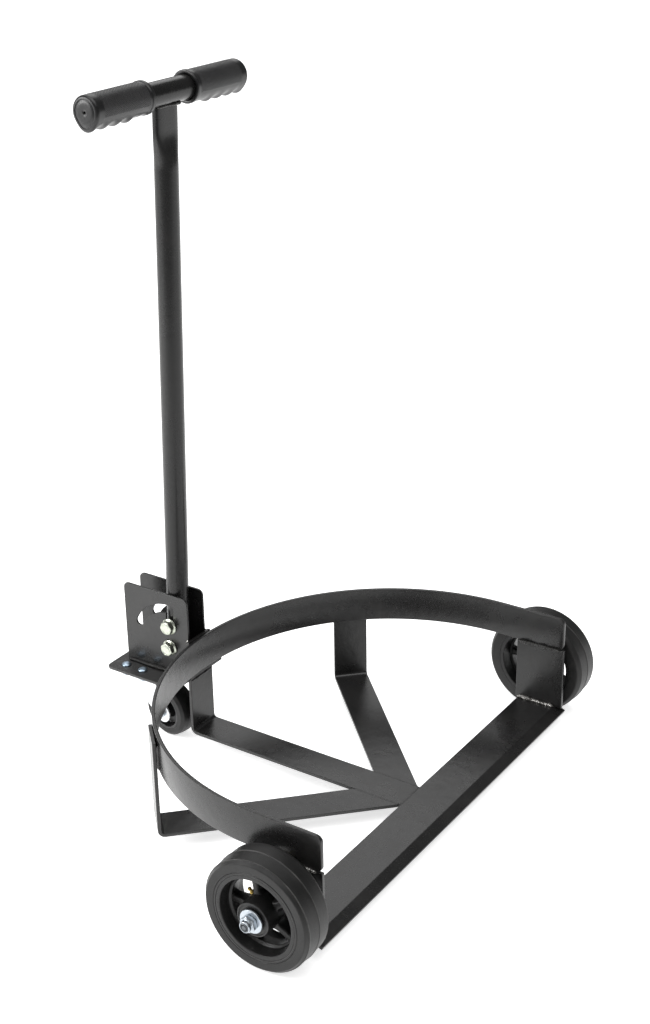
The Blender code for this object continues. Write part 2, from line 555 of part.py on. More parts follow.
def caster(paints, parent):
    """Swivel caster: top plate, ball race, king pin, fork and wheel. The swivel's empty is turned to the
    way the caster trails, and its z is zero at the underside of the bracket plate."""
    zinc = paints["zinc"]
    top = -GAP
    plate_low = top - CASTER_PLATE
    still = empty("caster_mount", (0, CASTER_Y, CASTER_TOP), parent=parent)
    swivel = empty("caster_swivel", (0, CASTER_Y, CASTER_TOP), (0, 0, CASTER_TURN), parent)
    plate = solid("caster_plate", prism(rectangle(-0.047, 0.047, -0.029, 0.029), plate_low, top), zinc, still)
    holes = bolt_holes("caster_plate_holes", CASTER_TOP - 0.005, CASTER_TOP + 0.002, zinc, parent)
    combine(plate, holes)
    pin_hole = arc((0, 0), KING_PIN_R + GAP, 0, 2 * math.pi, 16)[:-1]
    combine(plate, solid("king_pin_hole", prism(pin_hole, -0.02, 0.002), zinc, still))
    race = [(-0.0031, 0.0085), (-0.0031, 0.022), (-0.009, 0.0275), (-0.0115, 0.0275)]
    race += [(-0.0115, 0.0260), (-0.0085, 0.0255), (-0.0051, 0.0215), (-0.0051, 0.0085)]
    standing("swivel_race", race, 20, zinc, still, closed=True)
    bm = bmesh.new()
    ball_r, ball_ring, ball_z, balls = 0.003, 0.018, -0.0087, 8
    for i in range(balls):
        angle = 2 * math.pi * i / balls
        made = bmesh.ops.create_uvsphere(bm, u_segments=6, v_segments=4, radius=ball_r)
        spot = (ball_ring * math.cos(angle), ball_ring * math.sin(angle), ball_z)
        bmesh.ops.translate(bm, verts=made["verts"], vec=spot)
    cage = [(ball_z - 0.0004, ball_ring + 0.001), (ball_z + 0.0004, ball_ring + 0.001)]
    cage += [(ball_z + 0.0004, ball_ring - 0.001), (ball_z - 0.0004, ball_ring - 0.001)]
    held = standing("ball_ring", cage, 20, zinc, still, closed=True)
    combine(held, solid("balls", bm, zinc, still), "UNION")
    head = CROWN_LOW - GAP
    pin = [(head - 0.003, 0.009), (head, 0.0105), (head, KING_PIN_R), (top - GAP, KING_PIN_R)]
    standing("king_pin", pin, 16, zinc, still)
    axle = (-CASTER_TRAIL, CASTER_WHEEL_R - CASTER_TOP)
    tip_r = 0.0155
    crown = [(-0.0205, -0.022), (0.0205, -0.022), (0.0205, 0.022), (-0.0205, 0.022)]
    fork = solid("caster_fork", prism(crown, CROWN_LOW, CROWN_TOP), zinc, swivel)
    tip = arc(axle, tip_r, math.radians(150), math.radians(335), 8)
    leg_top = CROWN_TOP - 0.0004
    leg = [(-0.0225, leg_top), *tip, (0.0225, -0.030), (0.0225, leg_top)]
    bm = bmesh.new()
    for side in (1, -1):
        prism(leg, side * CASTER_LEG_IN, side * (CASTER_LEG_IN + CASTER_LEG_THICK), "x", bm)
    combine(fork, solid("fork_legs", bm, zinc, swivel), "UNION")
    combine(fork, solid("crown_hole", prism(pin_hole, -0.03, 0), zinc, swivel))
    axle_hole = prism(arc(axle, M8_HOLE_R, 0, 2 * math.pi, 12)[:-1], -0.03, 0.03, "x")
    combine(fork, solid("fork_axle_hole", axle_hole, zinc, swivel))
    roll = empty("caster_wheel_axis", (0, *axle), parent=swivel)
    half, seat = CASTER_HALF, 0.0275
    tyre = [(-half, seat + GAP), (-half, 0.034), (-half + 0.003, 0.0385), (-0.006, CASTER_WHEEL_R)]
    tyre += [(0.006, CASTER_WHEEL_R), (half - 0.003, 0.0385), (half, 0.034), (half, seat + GAP)]
    solid("caster_tyre", rings(tyre, 32, closed=True), paints["tyre"], roll, smooth=30)
    face, bore = 0.0172, 0.0064
    centre = [(-half, seat), (half, seat), (half, 0.024), (0.005, 0.022), (0.005, 0.012)]
    centre += [(face, 0.011), (face, bore), (-face, bore), (-face, 0.011), (-0.005, 0.012)]
    centre += [(-0.005, 0.022), (-half, 0.024)]
    solid("caster_centre", rings(centre, 24, closed=True), paints["plastic"], roll, smooth=30)
    end, sleeve_r = CASTER_LEG_IN - GAP, bore - 0.0004
    sleeve = [(-end, sleeve_r), (end, sleeve_r), (end, M8_HOLE_R), (-end, M8_HOLE_R)]
    solid("caster_axle_sleeve", rings(sleeve, 16, closed=True), zinc, roll, smooth=30)
    out = CASTER_LEG_IN + CASTER_LEG_THICK + GAP
    side_at = hexagon(M8_HEX)
    bolt = [(-out - 0.0053, hexagon(0.0122)), (-out - 0.0048, side_at), (-out, side_at)]
    bolt += [(-out, M8_R), (out + 0.0082, M8_R), (out + 0.009, M8_R - 0.0007)]
    solid("caster_axle_bolt", rings(bolt, 12), zinc, roll, smooth=35)
    far = out + M8_NUT_TALL
    nut = [(out, M8_HOLE_R), (out, side_at), (far, side_at), (far, M8_HOLE_R)]
    solid("caster_axle_nut", rings(nut, 12, closed=True), zinc, roll, smooth=35)


def standing(name, sections, steps, finish, parent, place=(0, 0, 0), closed=False):
    """A body of rings round Z: each section is (z, radius)."""
    bm = rings(sections, steps, closed=closed)
    for v in bm.verts:
        v.co = (v.co.y, v.co.z, v.co.x)
    return solid(name, bm, finish, parent, place, smooth=30)


def build():
    clear_scene()
    paint = material("black_paint", (0.035, 0.035, 0.036), 0.42, 0.0)
    zinc = material("zinc", (0.62, 0.63, 0.64), 0.3, 1.0)
    grip = material("grip_rubber", (0.12, 0.12, 0.125), 0.65, 0.0)
    paints = {
        "tyre": material("tyre_rubber", (0.06, 0.06, 0.06), 0.7, 0.0),
        "cast": material("cast_black", (0.03, 0.03, 0.03), 0.55, 0.0),
        "bronze": material("bronze_bush", (0.42, 0.28, 0.14), 0.4, 1.0),
        "brass": material("brass", (0.66, 0.48, 0.16), 0.3, 1.0),
        "plastic": material("caster_plastic", (0.04, 0.04, 0.04), 0.5, 0.0),
        "zinc": zinc,
    }
    frame = empty("hoop_centre", (0, HOOP_Y, 0))
    hoop_band(paint, frame)
    cross_bar(paint, frame)
    spokes(paint, frame)
    side_plate("right_side_plate", 1, paint, frame)
    side_plate("left_side_plate", -1, paint, frame)
    bracket(paint, frame)
    reach = 2 * (EAR_OUTSIDE + GAP) + 0.0145
    pivot = empty("handle_axis", (0, PIVOT_Y, PIVOT_Z), (HANDLE_LEAN, 0, 0), frame)
    for name, up in (("pivot", 0), ("lock", LOCK_UP)):
        flange_bolt(name + "_bolt", reach, zinc, pivot, (-EAR_OUTSIDE - GAP, 0, up))
        flange_nut(name + "_nut", zinc, pivot, (EAR_OUTSIDE + GAP, 0, up))
    handle(paint, grip, pivot)
    fixed_wheel(1, "right_wheel", paints, frame)
    fixed_wheel(-1, "left_wheel", paints, frame)
    plate_fasteners(zinc, frame)
    caster(paints, frame)


build()
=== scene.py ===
import math

import bmesh
import bpy
import numpy as np
from mathutils import Matrix, Vector


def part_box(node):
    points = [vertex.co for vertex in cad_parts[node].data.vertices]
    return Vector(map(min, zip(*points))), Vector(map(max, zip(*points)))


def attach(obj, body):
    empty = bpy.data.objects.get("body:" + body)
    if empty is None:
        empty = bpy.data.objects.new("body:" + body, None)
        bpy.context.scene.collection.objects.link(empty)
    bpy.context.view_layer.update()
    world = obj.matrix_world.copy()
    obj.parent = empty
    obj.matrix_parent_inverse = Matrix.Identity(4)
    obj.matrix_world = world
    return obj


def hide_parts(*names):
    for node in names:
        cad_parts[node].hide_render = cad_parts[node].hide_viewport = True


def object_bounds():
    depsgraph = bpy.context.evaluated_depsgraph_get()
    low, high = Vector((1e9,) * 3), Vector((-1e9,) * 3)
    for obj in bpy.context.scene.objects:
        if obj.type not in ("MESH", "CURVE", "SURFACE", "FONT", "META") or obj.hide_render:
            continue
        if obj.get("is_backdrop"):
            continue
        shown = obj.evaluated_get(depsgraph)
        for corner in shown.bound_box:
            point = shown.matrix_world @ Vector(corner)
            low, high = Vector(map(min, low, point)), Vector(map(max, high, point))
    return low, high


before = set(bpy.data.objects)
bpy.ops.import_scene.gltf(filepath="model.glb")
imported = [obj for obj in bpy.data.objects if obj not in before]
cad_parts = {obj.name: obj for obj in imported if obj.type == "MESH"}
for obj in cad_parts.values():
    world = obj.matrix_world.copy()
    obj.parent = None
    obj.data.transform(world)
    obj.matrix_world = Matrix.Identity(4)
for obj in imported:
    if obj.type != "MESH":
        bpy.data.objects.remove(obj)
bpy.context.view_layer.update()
print("frame loaded:", len(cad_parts), "nodes")

gap = 0.0003  # room between neighbouring solids in the CAD
mostCut = 0.48  # share of an edge that one rounded corner may take


def middle(node):
    low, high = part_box(node)
    return np.array((low + high) / 2)


def gridPiece(name, parts, finish, body, stands=(), sharp=35, uv=None):
    # parts: grids of points [along, around, xyz]; around is a closed loop, and along is capped by a fan
    # at both ends unless the grid says that it closes on itself
    points, faces = [], []
    start = 0
    for grid, closes in parts:
        along, around = grid.shape[:2]
        points.append(grid.reshape(-1, 3))
        index = start + np.arange(along * around).reshape(along, around)
        nextAround = np.roll(index, -1, axis=1)
        if closes:
            a, b, c, d = index, nextAround, np.roll(nextAround, -1, axis=0), np.roll(index, -1, axis=0)
        else:
            a, b, c, d = index[:-1], nextAround[:-1], nextAround[1:], index[1:]
        faces += np.stack([a, b, c, d], axis=-1).reshape(-1, 4).tolist()
        start += along * around
        if not closes:
            for row, flip in ((0, True), (-1, False)):
                points.append(grid[row].mean(axis=0)[None])
                ring, after = index[row], nextAround[row]
                fan = np.stack([ring, after, np.full(around, start)], axis=-1)
                faces += (fan[:, ::-1] if flip else fan).tolist()
                start += 1
    mesh = bpy.data.meshes.new(name)
    mesh.from_pydata(np.concatenate(points).tolist(), [], faces)
    work = bmesh.new()
    work.from_mesh(mesh)
    bmesh.ops.recalc_face_normals(work, faces=work.faces)
    work.to_mesh(mesh)
    work.free()
    if uv is not None:
        layer = mesh.uv_layers.new(name="surface")
        corners = np.empty(len(mesh.loops), np.int32)
        mesh.loops.foreach_get("vertex_index", corners)
        values = np.zeros((len(mesh.vertices), 2))
        values[: len(uv)] = uv
        layer.data.foreach_set("uv", values[corners].ravel())
    settle(name, mesh, finish, body, stands, sharp)


def standIn(node, parts, finish, body, sharp=35, uv=None):
    # a grid piece shown in place of one CAD node
    gridPiece(node + "_shown", parts, finish, body, (node,), sharp, uv)


def settle(name, mesh, finish, body, stands, sharp=None):
    mesh.shade_smooth()
    if sharp:
        mesh.set_sharp_from_angle(angle=math.radians(sharp))
    mesh.materials.clear()
    mesh.materials.append(finish)
    made = bpy.data.objects.new(name, mesh)
    bpy.context.scene.collection.objects.link(made)
    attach(made, body)
    if stands:
        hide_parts(*stands)
    return made


def softened(corners, radii, steps=4):
    # a polyline whose corners are arcs: from each corner go back by radius * tan(turn / 2) on both sides
    corners = np.array(corners, float)
    out = [corners[0]]
    for before, here, after, radius in zip(corners, corners[1:], corners[2:], radii):
        into, away = here - before, after - here
        lengths = np.linalg.norm(into), np.linalg.norm(away)
        into, away = into / lengths[0], away / lengths[1]
        turn = math.acos(np.clip(into @ away, -1, 1))
        cut = min(radius * math.tan(turn / 2), lengths[0] * mostCut, lengths[1] * mostCut)
        if cut < 1e-6:
            out.append(here)
            continue
        t = np.linspace(0, 1, steps + 1)[:, None]
        # a quadratic curve through the two tangent points, near enough an arc at this size
        first, last = here - into * cut, here + away * cut
        out.extend((1 - t) ** 2 * first + 2 * t * (1 - t) * here + t**2 * last)
    out.append(corners[-1])
    return np.array(out)


def angles(steps):
    return np.arange(steps) * 2 * math.pi / steps


def lathe(profile, steps=96, radial=None):
    # profile [(x, r)] turned round X; radial(x, angle, r) may change the radius
    profile = np.array(profile, float)
    turn = angles(steps)[None, :]
    x = np.repeat(profile[:, :1], steps, axis=1)
    r = np.repeat(profile[:, 1:2], steps, axis=1)
    if radial:
        r = radial(x, np.repeat(turn, len(profile), axis=0), r)
    return np.stack([x, r * np.cos(turn), r * np.sin(turn)], axis=-1)


def hexRadius(turn, across):
    return across / 2 / np.cos(turn % (math.pi / 3) - math.pi / 6)


def placed(grid, spot, matrix=None):
    return (grid if matrix is None else grid @ np.array(matrix).T) + np.array(spot)


def turnX(angle):
    return np.array(Matrix.Rotation(angle, 3, "X"))


def turnZ(angle):
    return np.array(Matrix.Rotation(angle, 3, "Z"))


standUp = np.array([[0, 0, 1], [0, 1, 0], [-1, 0, 0]], float)  # x of a turned piece runs down


def roundBar(width, thick, radius, steps=4):
    # closed rounded rectangle, as (side, up) offsets
    t = np.linspace(0, math.pi / 2, steps)
    corner = np.stack([np.cos(t), np.sin(t)], axis=-1) * radius
    w, h = width / 2 - radius, thick / 2 - radius
    quarters = []
    for k, (sx, sy) in enumerate(((1, 1), (-1, 1), (-1, -1), (1, -1))):
        a = k * math.pi / 2
        spin = np.array([[math.cos(a), -math.sin(a)], [math.sin(a), math.cos(a)]])
        quarters.append(corner @ spin.T + np.array([sx * w, sy * h]))
    return np.concatenate(quarters)


class wire:
    def __init__(self, tree, socket):
        self.tree, self.socket = tree, socket

    def maths(self, operation, other=0.0, swap=False):
        made = self.tree.nodes.new("ShaderNodeMath")
        made.operation = operation
        for slot, value in zip(made.inputs, (other, self) if swap else (self, other)):
            plug(self.tree, slot, value)
        return wire(self.tree, made.outputs[0])

    def __add__(self, other):
        return self.maths("ADD", other)

    def __radd__(self, other):
        return self.maths("ADD", other, True)

    def __sub__(self, other):
        return self.maths("SUBTRACT", other)

    def __rsub__(self, other):
        return self.maths("SUBTRACT", other, True)

    def __mul__(self, other):
        return self.maths("MULTIPLY", other)

    def __rmul__(self, other):
        return self.maths("MULTIPLY", other, True)

    def __truediv__(self, other):
        return self.maths("DIVIDE", other)

    def __pow__(self, other):
        return self.maths("POWER", other)


def plug(tree, slot, value):
    if isinstance(value, wire):
        tree.links.new(value.socket, slot)
    elif isinstance(value, tuple) and len(value) == 3 and slot.type == "RGBA":
        slot.default_value = (*value, 1)
    else:
        slot.default_value = value


class finishPot:
    # one material; node() makes any node from its type, its settings and its sockets
    def __init__(self, name, **fixed):
        self.material = bpy.data.materials.new(name)
        self.material.use_nodes = True
        self.tree = self.material.node_tree
        self.shader = self.tree.nodes["Principled BSDF"]
        for key, value in fixed.items():
            plug(self.tree, self.shader.inputs[socketNames[key]], value)
        self.place = self.node("TexCoord", out="Object")

    def node(self, kind, settings=None, sockets=None, out=0):
        made = self.tree.nodes.new("ShaderNode" + kind)
        for key, value in (settings or {}).items():
            setattr(made, key, value)
        for key, value in (sockets or {}).items():
            plug(self.tree, made.inputs[key], value)
        return wire(self.tree, made.outputs[out])

    def axes(self, vector):
        split = self.node("SeparateXYZ", None, {"Vector": vector}).socket.node
        return [wire(self.tree, output) for output in split.outputs]

    def noise(self, scale, detail=3.0, rough=0.55, where=None):
        sockets = {"Vector": where or self.place, "Scale": scale, "Detail": detail, "Roughness": rough}
        return self.node("TexNoise", None, sockets)

    def stretched(self, scale, turn=(0, 0, 0)):
        return self.node("Mapping", None, {"Vector": self.place, "Scale": scale, "Rotation": turn})

    def mask(self, value, low, high):
        sockets = {"Value": value, "From Min": low, "From Max": high}
        return self.node("MapRange", {"clamp": True}, sockets)

    def blend(self, share, first, second):
        return self.node("Mix", {"data_type": "RGBA"}, {0: share, 6: first, 7: second}, out=2)

    def bump(self, height, distance, strength=1.0, onto=None):
        sockets = {"Height": height, "Distance": distance, "Strength": strength}
        if onto:
            sockets["Normal"] = onto
        return self.node("Bump", None, sockets)

    def wear(self, **linked):
        for key, value in linked.items():
            plug(self.tree, self.shader.inputs[socketNames[key]], value)
        return self.material


socketNames = {
    "colour": "Base Color", "rough": "Roughness", "metal": "Metallic", "normal": "Normal",
    "shine": "Specular IOR Level", "glow": "Emission Color", "glowPower": "Emission Strength",
}

paintLook = {"dark": (0.006, 0.006, 0.006), "light": (0.0125, 0.0122, 0.012), "dust": (0.045, 0.042, 0.038)}
# the last colour of the rubber is a painted highlight for the tyre's mould lines
rubberLook = {
    "dark": (0.004, 0.004, 0.004), "light": (0.009, 0.0088, 0.0085), "bloom": (0.036, 0.035, 0.034),
    "line": (0.13, 0.127, 0.124),
}
castLook = {"dark": (0.004, 0.004, 0.004), "light": (0.009, 0.0088, 0.0085), "bare": (0.10, 0.095, 0.09)}
# the last colour of the grip is a painted highlight for the knurl's crests
gripLook = {
    "dark": (0.005, 0.005, 0.0052), "light": (0.010, 0.010, 0.0105), "dust": (0.05, 0.05, 0.052),
    "crestWithHighlight": (0.036, 0.036, 0.038),
}
weldLook = {
    "painted": ((0.006, 0.006, 0.006), (0.03, 0.029, 0.027)),
    "bare": ((0.80, 0.79, 0.77), (0.50, 0.48, 0.45)),
    "soot": (0.03, 0.028, 0.026),
}
offPanel = -1000.0  # what the grip's map holds across the piece where there is no knurl


def satinPaint(name, peel=1.0, shine=0.5):
    # brushed-on black enamel: orange peel, soft cloudy colour, small dry specks and rubbed patches
    pot = finishPot(name, metal=0.0, shine=shine)
    clouds = pot.noise(9, 4)
    specks = pot.mask(pot.noise(420, 2, 0.7), 0.66, 0.78)
    rubbed = pot.mask(pot.noise(26, 5, 0.6), 0.5, 0.85)
    drawn = pot.stretched((1, 1, 14), (0.4, 0.3, 0.2))
    scratches = pot.mask(pot.noise(55, 8, 0.75, drawn), 0.66, 0.73)
    colour = pot.blend(clouds, paintLook["dark"], paintLook["light"])
    colour = pot.blend(rubbed * 0.16 + specks * 0.3 + scratches * 0.4, colour, paintLook["dust"])
    rough = 0.22 + clouds * 0.1 + rubbed * 0.05 + specks * 0.2
    peelHeight = pot.noise(520, 2, 0.4) * 0.7 + pot.noise(1900, 1, 0.5) * 0.3
    flow = pot.bump(pot.noise(70, 2, 0.5), 0.0008, 0.4 * peel)
    normal = pot.bump(peelHeight - specks * 0.3, 0.00016, 0.55 * peel, flow)
    return pot.wear(colour=colour, rough=rough, normal=normal)


def tyreRubber(name, axle=None, lines=()):
    # moulded rubber with a dusty bloom, fine pits and rubbed streaks; lines holds (distance from the
    # middle, radius, half width) of the mould lines, which get a painted highlight: a lighter colour along
    # them
    pot = finishPot(name, metal=0.0, shine=0.34)
    clouds = pot.noise(34, 5, 0.6)
    pits = pot.mask(pot.noise(900, 2, 0.7), 0.62, 0.74)
    bloom = pot.mask(pot.noise(14, 6, 0.7), 0.42, 0.78)
    smears = pot.mask(pot.noise(40, 6, 0.7, pot.stretched((6, 1, 1))), 0.5, 0.8)
    colour = pot.blend(clouds, rubberLook["dark"], rubberLook["light"])
    colour = pot.blend(bloom * 0.25 + smears * 0.3, colour, rubberLook["bloom"])
    if lines:
        # radius = sqrt((y - y0)^2 + (z - z0)^2), and the mask falls off to each side of a line
        x, y, z = pot.axes(pot.place)
        radius = ((y - axle[1]) ** 2.0 + (z - axle[2]) ** 2.0) ** 0.5
        fromMiddle = x.maths("ABSOLUTE") - axle[0]
        paintedLineHighlight = 0.0
        for offset, ring, width in lines:
            away = (((fromMiddle - offset) ** 2.0 + (radius - ring) ** 2.0) ** 0.5) * (1 / width)
            paintedLineHighlight = pot.mask(away, 1.6, 0.5) + paintedLineHighlight
        # painted highlight along the mould lines, broken up by the smear noise
        colour = pot.blend(paintedLineHighlight * (0.15 + smears * 0.6), colour, rubberLook["line"])
    rough = 0.36 + clouds * 0.14 + bloom * 0.08
    normal = pot.bump(pot.noise(1500, 3, 0.6) - pits * 0.8, 0.00014, 0.6, pot.bump(clouds, 0.0007, 0.3))
    return pot.wear(colour=colour, rough=rough, normal=normal)


def castIron(name):
    # sand cast centre under thin black paint
    pot = finishPot(name, metal=0.0, shine=0.38)
    grain = pot.noise(620, 4, 0.7)
    clouds = pot.noise(60, 4, 0.6)
    colour = pot.blend(clouds, castLook["dark"], castLook["light"])
    bare = pot.mask(pot.noise(140, 5, 0.7), 0.64, 0.74)
    colour = pot.blend(bare * 0.5, colour, castLook["bare"])
    rough = 0.3 + grain * 0.2
    normal = pot.bump(grain, 0.0004, 0.7, pot.bump(clouds, 0.0012, 0.5))
    return pot.wear(colour=colour, rough=rough, normal=normal)


def gripRubber(name, knurled):
    # soft plastic grip; the knurl is a diamond lattice on the piece's own map, in cells, and its crests get a
    # painted highlight
    pot = finishPot(name, metal=0.0, shine=0.5)
    clouds = pot.noise(45, 5, 0.6)
    colour = pot.blend(clouds, gripLook["dark"], gripLook["light"])
    dust = pot.mask(pot.noise(160, 4, 0.7), 0.5, 0.8)
    fine = pot.bump(pot.noise(1300, 3, 0.6), 0.00012, 0.4, pot.bump(clouds, 0.001, 0.4))
    rough = 0.27 + clouds * 0.14
    if not knurled:
        colour = pot.blend(dust * 0.3, colour, gripLook["dust"])
        return pot.wear(colour=colour, rough=rough, normal=fine)
    # the height of a diamond is the lower of sin^2(pi (u + v)) and sin^2(pi (u - v))
    along, across, _ = pot.axes(pot.node("UVMap", {"uv_map": "surface"}))
    first = ((along + across) * math.pi).maths("SINE")
    second = ((along - across) * math.pi).maths("SINE")
    lattice = (first * first).maths("MINIMUM", second * second)
    onPanel = pot.mask(across, offPanel + 100, offPanel + 101)
    crestWithHighlight = pot.mask(lattice, 0.25, 0.85) * onPanel
    colour = pot.blend(dust * 0.25, colour, gripLook["dust"])
    # painted highlight: the knurl's crests are coloured lighter, standing in for the light they catch
    colour = pot.blend(crestWithHighlight * 0.5, colour, gripLook["crestWithHighlight"])
    return pot.wear(colour=colour, rough=rough, normal=pot.bump(crestWithHighlight, 0.0003, 0.8, fine))


def brightMetal(name, tone, tint, rough):
    # plated steel or turned metal: faint tool marks, dull patches and a passivation tint
    pot = finishPot(name, metal=1.0)
    clouds = pot.noise(190, 4, 0.6)
    marks = pot.noise(900, 3, 0.6, pot.stretched((1, 6, 6)))
    stains = pot.mask(pot.noise(90, 5, 0.7), 0.5, 0.8)
    colour = pot.blend(clouds, tone, tint)
    colour = pot.blend(stains * 0.4, colour, tuple(c * 0.55 for c in tone))
    roughness = rough + clouds * 0.12 + marks * 0.08 + stains * 0.12
    return pot.wear(colour=colour, rough=roughness, normal=pot.bump(marks, 0.00008, 0.4))


def weldMetal(name, painted):
    # bead ripples are in the mesh; spatter, soot and heat colour are here
    pot = finishPot(name, metal=0.0 if painted else 0.9, shine=0.5)
    lumps = pot.noise(480, 4, 0.7)
    soot = pot.mask(pot.noise(190, 5, 0.75), 0.44, 0.54)
    if painted:
        colour = pot.blend(lumps, *weldLook["painted"])
        rough = 0.2 + lumps * 0.2
    else:
        colour = pot.blend(lumps, *weldLook["bare"])
        colour = pot.blend(soot * 0.9, colour, weldLook["soot"])
        rough = 0.22 + soot * 0.35
    return pot.wear(colour=colour, rough=rough, normal=pot.bump(lumps, 0.0007, 0.9))


paint = satinPaint("satinBlack")
tubePaint = satinPaint("satinBlackTube", 0.6, 0.36)
casting = castIron("castCentre")
gripSmooth = gripRubber("gripSmooth", False)
gripKnurled = gripRubber("gripKnurled", True)
zinc = brightMetal("zincBright", (0.50, 0.53, 0.56), (0.40, 0.45, 0.50), 0.2)
zincBlue = brightMetal("zincBlue", (0.44, 0.53, 0.62), (0.34, 0.44, 0.54), 0.2)
zincYellow = brightMetal("zincPassivated", (0.56, 0.57, 0.49), (0.46, 0.50, 0.43), 0.18)
darkSteel = brightMetal("oiledSteel", (0.16, 0.17, 0.18), (0.11, 0.12, 0.13), 0.34)
brassMetal = brightMetal("brassFitting", (0.83, 0.62, 0.20), (0.66, 0.45, 0.12), 0.22)
bronze = brightMetal("oiledBronze", (0.42, 0.29, 0.15), (0.30, 0.2, 0.1), 0.4)
forkZinc = brightMetal("casterZinc", (0.86, 0.87, 0.88), (0.80, 0.82, 0.84), 0.3)
weldBright = weldMetal("weldBright", False)
weldPainted = weldMetal("weldPainted", True)
print("materials made")


plateSpec = {
    "merge": 0.00002, "flatWithin": 0.6, "crease": 33, "lipCrease": 14,  # angles in degrees
    "frameEdge": 0.0009, "bracketEdge": 0.0005, "topEdge": 0.0004, "forkEdge": 0.0005,
}


def plateFrom(node, body, edge, finish=paint, crease=plateSpec["crease"]):
    # the CAD plate with its sheared edges broken
    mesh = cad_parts[node].data.copy()
    work = bmesh.new()
    work.from_mesh(mesh)
    bmesh.ops.remove_doubles(work, verts=work.verts, dist=plateSpec["merge"])
    bend = math.radians(plateSpec["flatWithin"])
    bmesh.ops.dissolve_limit(work, angle_limit=bend, verts=work.verts, edges=work.edges)
    work.to_mesh(mesh)
    work.free()
    if mesh.has_custom_normals:
        mesh.attributes.remove(mesh.attributes["custom_normal"])
    made = settle(node + "_shown", mesh, finish, body, (node,))
    bevel = made.modifiers.new("edge", "BEVEL")
    bevel.width = edge
    bevel.segments = 3
    bevel.limit_method = "ANGLE"
    bevel.angle_limit = math.radians(crease)
    bevel.harden_normals = True


plateFrom("cross_bar", "frame", plateSpec["frameEdge"], crease=plateSpec["lipCrease"])
for node in ("rear_spoke", "left_spoke", "right_spoke", "left_side_plate", "right_side_plate"):
    plateFrom(node, "frame", plateSpec["frameEdge"])
for node in ("bracket_plate", "left_ear", "right_ear"):
    plateFrom(node, "frame", plateSpec["bracketEdge"])
plateFrom("caster_plate", "frame", plateSpec["topEdge"], forkZinc)
plateFrom("caster_fork", "caster_fork", plateSpec["forkEdge"], forkZinc)

hoopSpec = {"flat": 0.005, "edge": 0.0009, "endRound": 0.009, "turns": 200, "rows": 12, "endThin": 0.62}


def hoopBand():
    # section (radial, height) carried along a straight, a half circle and a straight; near each end the
    # height follows the rounded corner: low = r - sqrt(r^2 - (r - s)^2)
    low, high = (np.array(c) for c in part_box("hoop"))
    radius = high[0] - hoopSpec["flat"] / 2
    centreY = high[1] - high[0]
    reach = centreY - low[1]
    r, rows = hoopSpec["endRound"], hoopSpec["rows"]
    rounded = r * (1 - np.cos(np.linspace(0, math.pi / 2, rows)))
    near = np.concatenate([rounded, np.linspace(r, reach, rows)[1:-1]])
    turn = np.linspace(0, math.pi, hoopSpec["turns"])
    spot = np.concatenate([
        np.stack([np.full(len(near), radius), near - reach], axis=-1),
        radius * np.stack([np.cos(turn), np.sin(turn)], axis=-1),
        np.stack([np.full(len(near), -radius), near[::-1] - reach], axis=-1),
    ])
    side = np.concatenate([
        np.tile([1.0, 0.0], (len(near), 1)),
        np.stack([np.cos(turn), np.sin(turn)], axis=-1),
        np.tile([-1.0, 0.0], (len(near), 1)),
    ])
    fromEnd = np.concatenate([near, np.full(len(turn), reach), near[::-1]])
    cut = np.where(fromEnd < r, r - np.sqrt(np.maximum(0, r * r - (r - fromEnd) ** 2)), 0.0)
    tall = high[2] - low[2]
    section = roundBar(hoopSpec["flat"], tall, hoopSpec["edge"])
    shrink = 1 - 2 * cut[:, None] / tall
    lip = np.clip(fromEnd / hoopSpec["edge"], 0, 1)[:, None]
    thin = hoopSpec["endThin"] + (1 - hoopSpec["endThin"]) * np.sqrt(1 - (1 - lip) ** 2)
    offset = section[None, :, 0] * thin
    height = section[None, :, 1] * shrink
    across = spot[:, None, :] + side[:, None, :] * offset[..., None]
    up = (low[2] + high[2]) / 2 + height
    grid = np.concatenate([across, up[..., None]], axis=-1)
    grid[..., 1] += centreY
    standIn("hoop", [(grid, False)], paint, "frame", sharp=50)


hoopBand()
print("flat steel made")


beadSpec = {
    "pitch": 0.0024, "rows": 7, "around": 14, "knot": 0.006, "swell": (0.72, 1.15), "lumps": 0.11,
    "drift": 0.15, "taper": 1.2, "flat": 0.75,
}


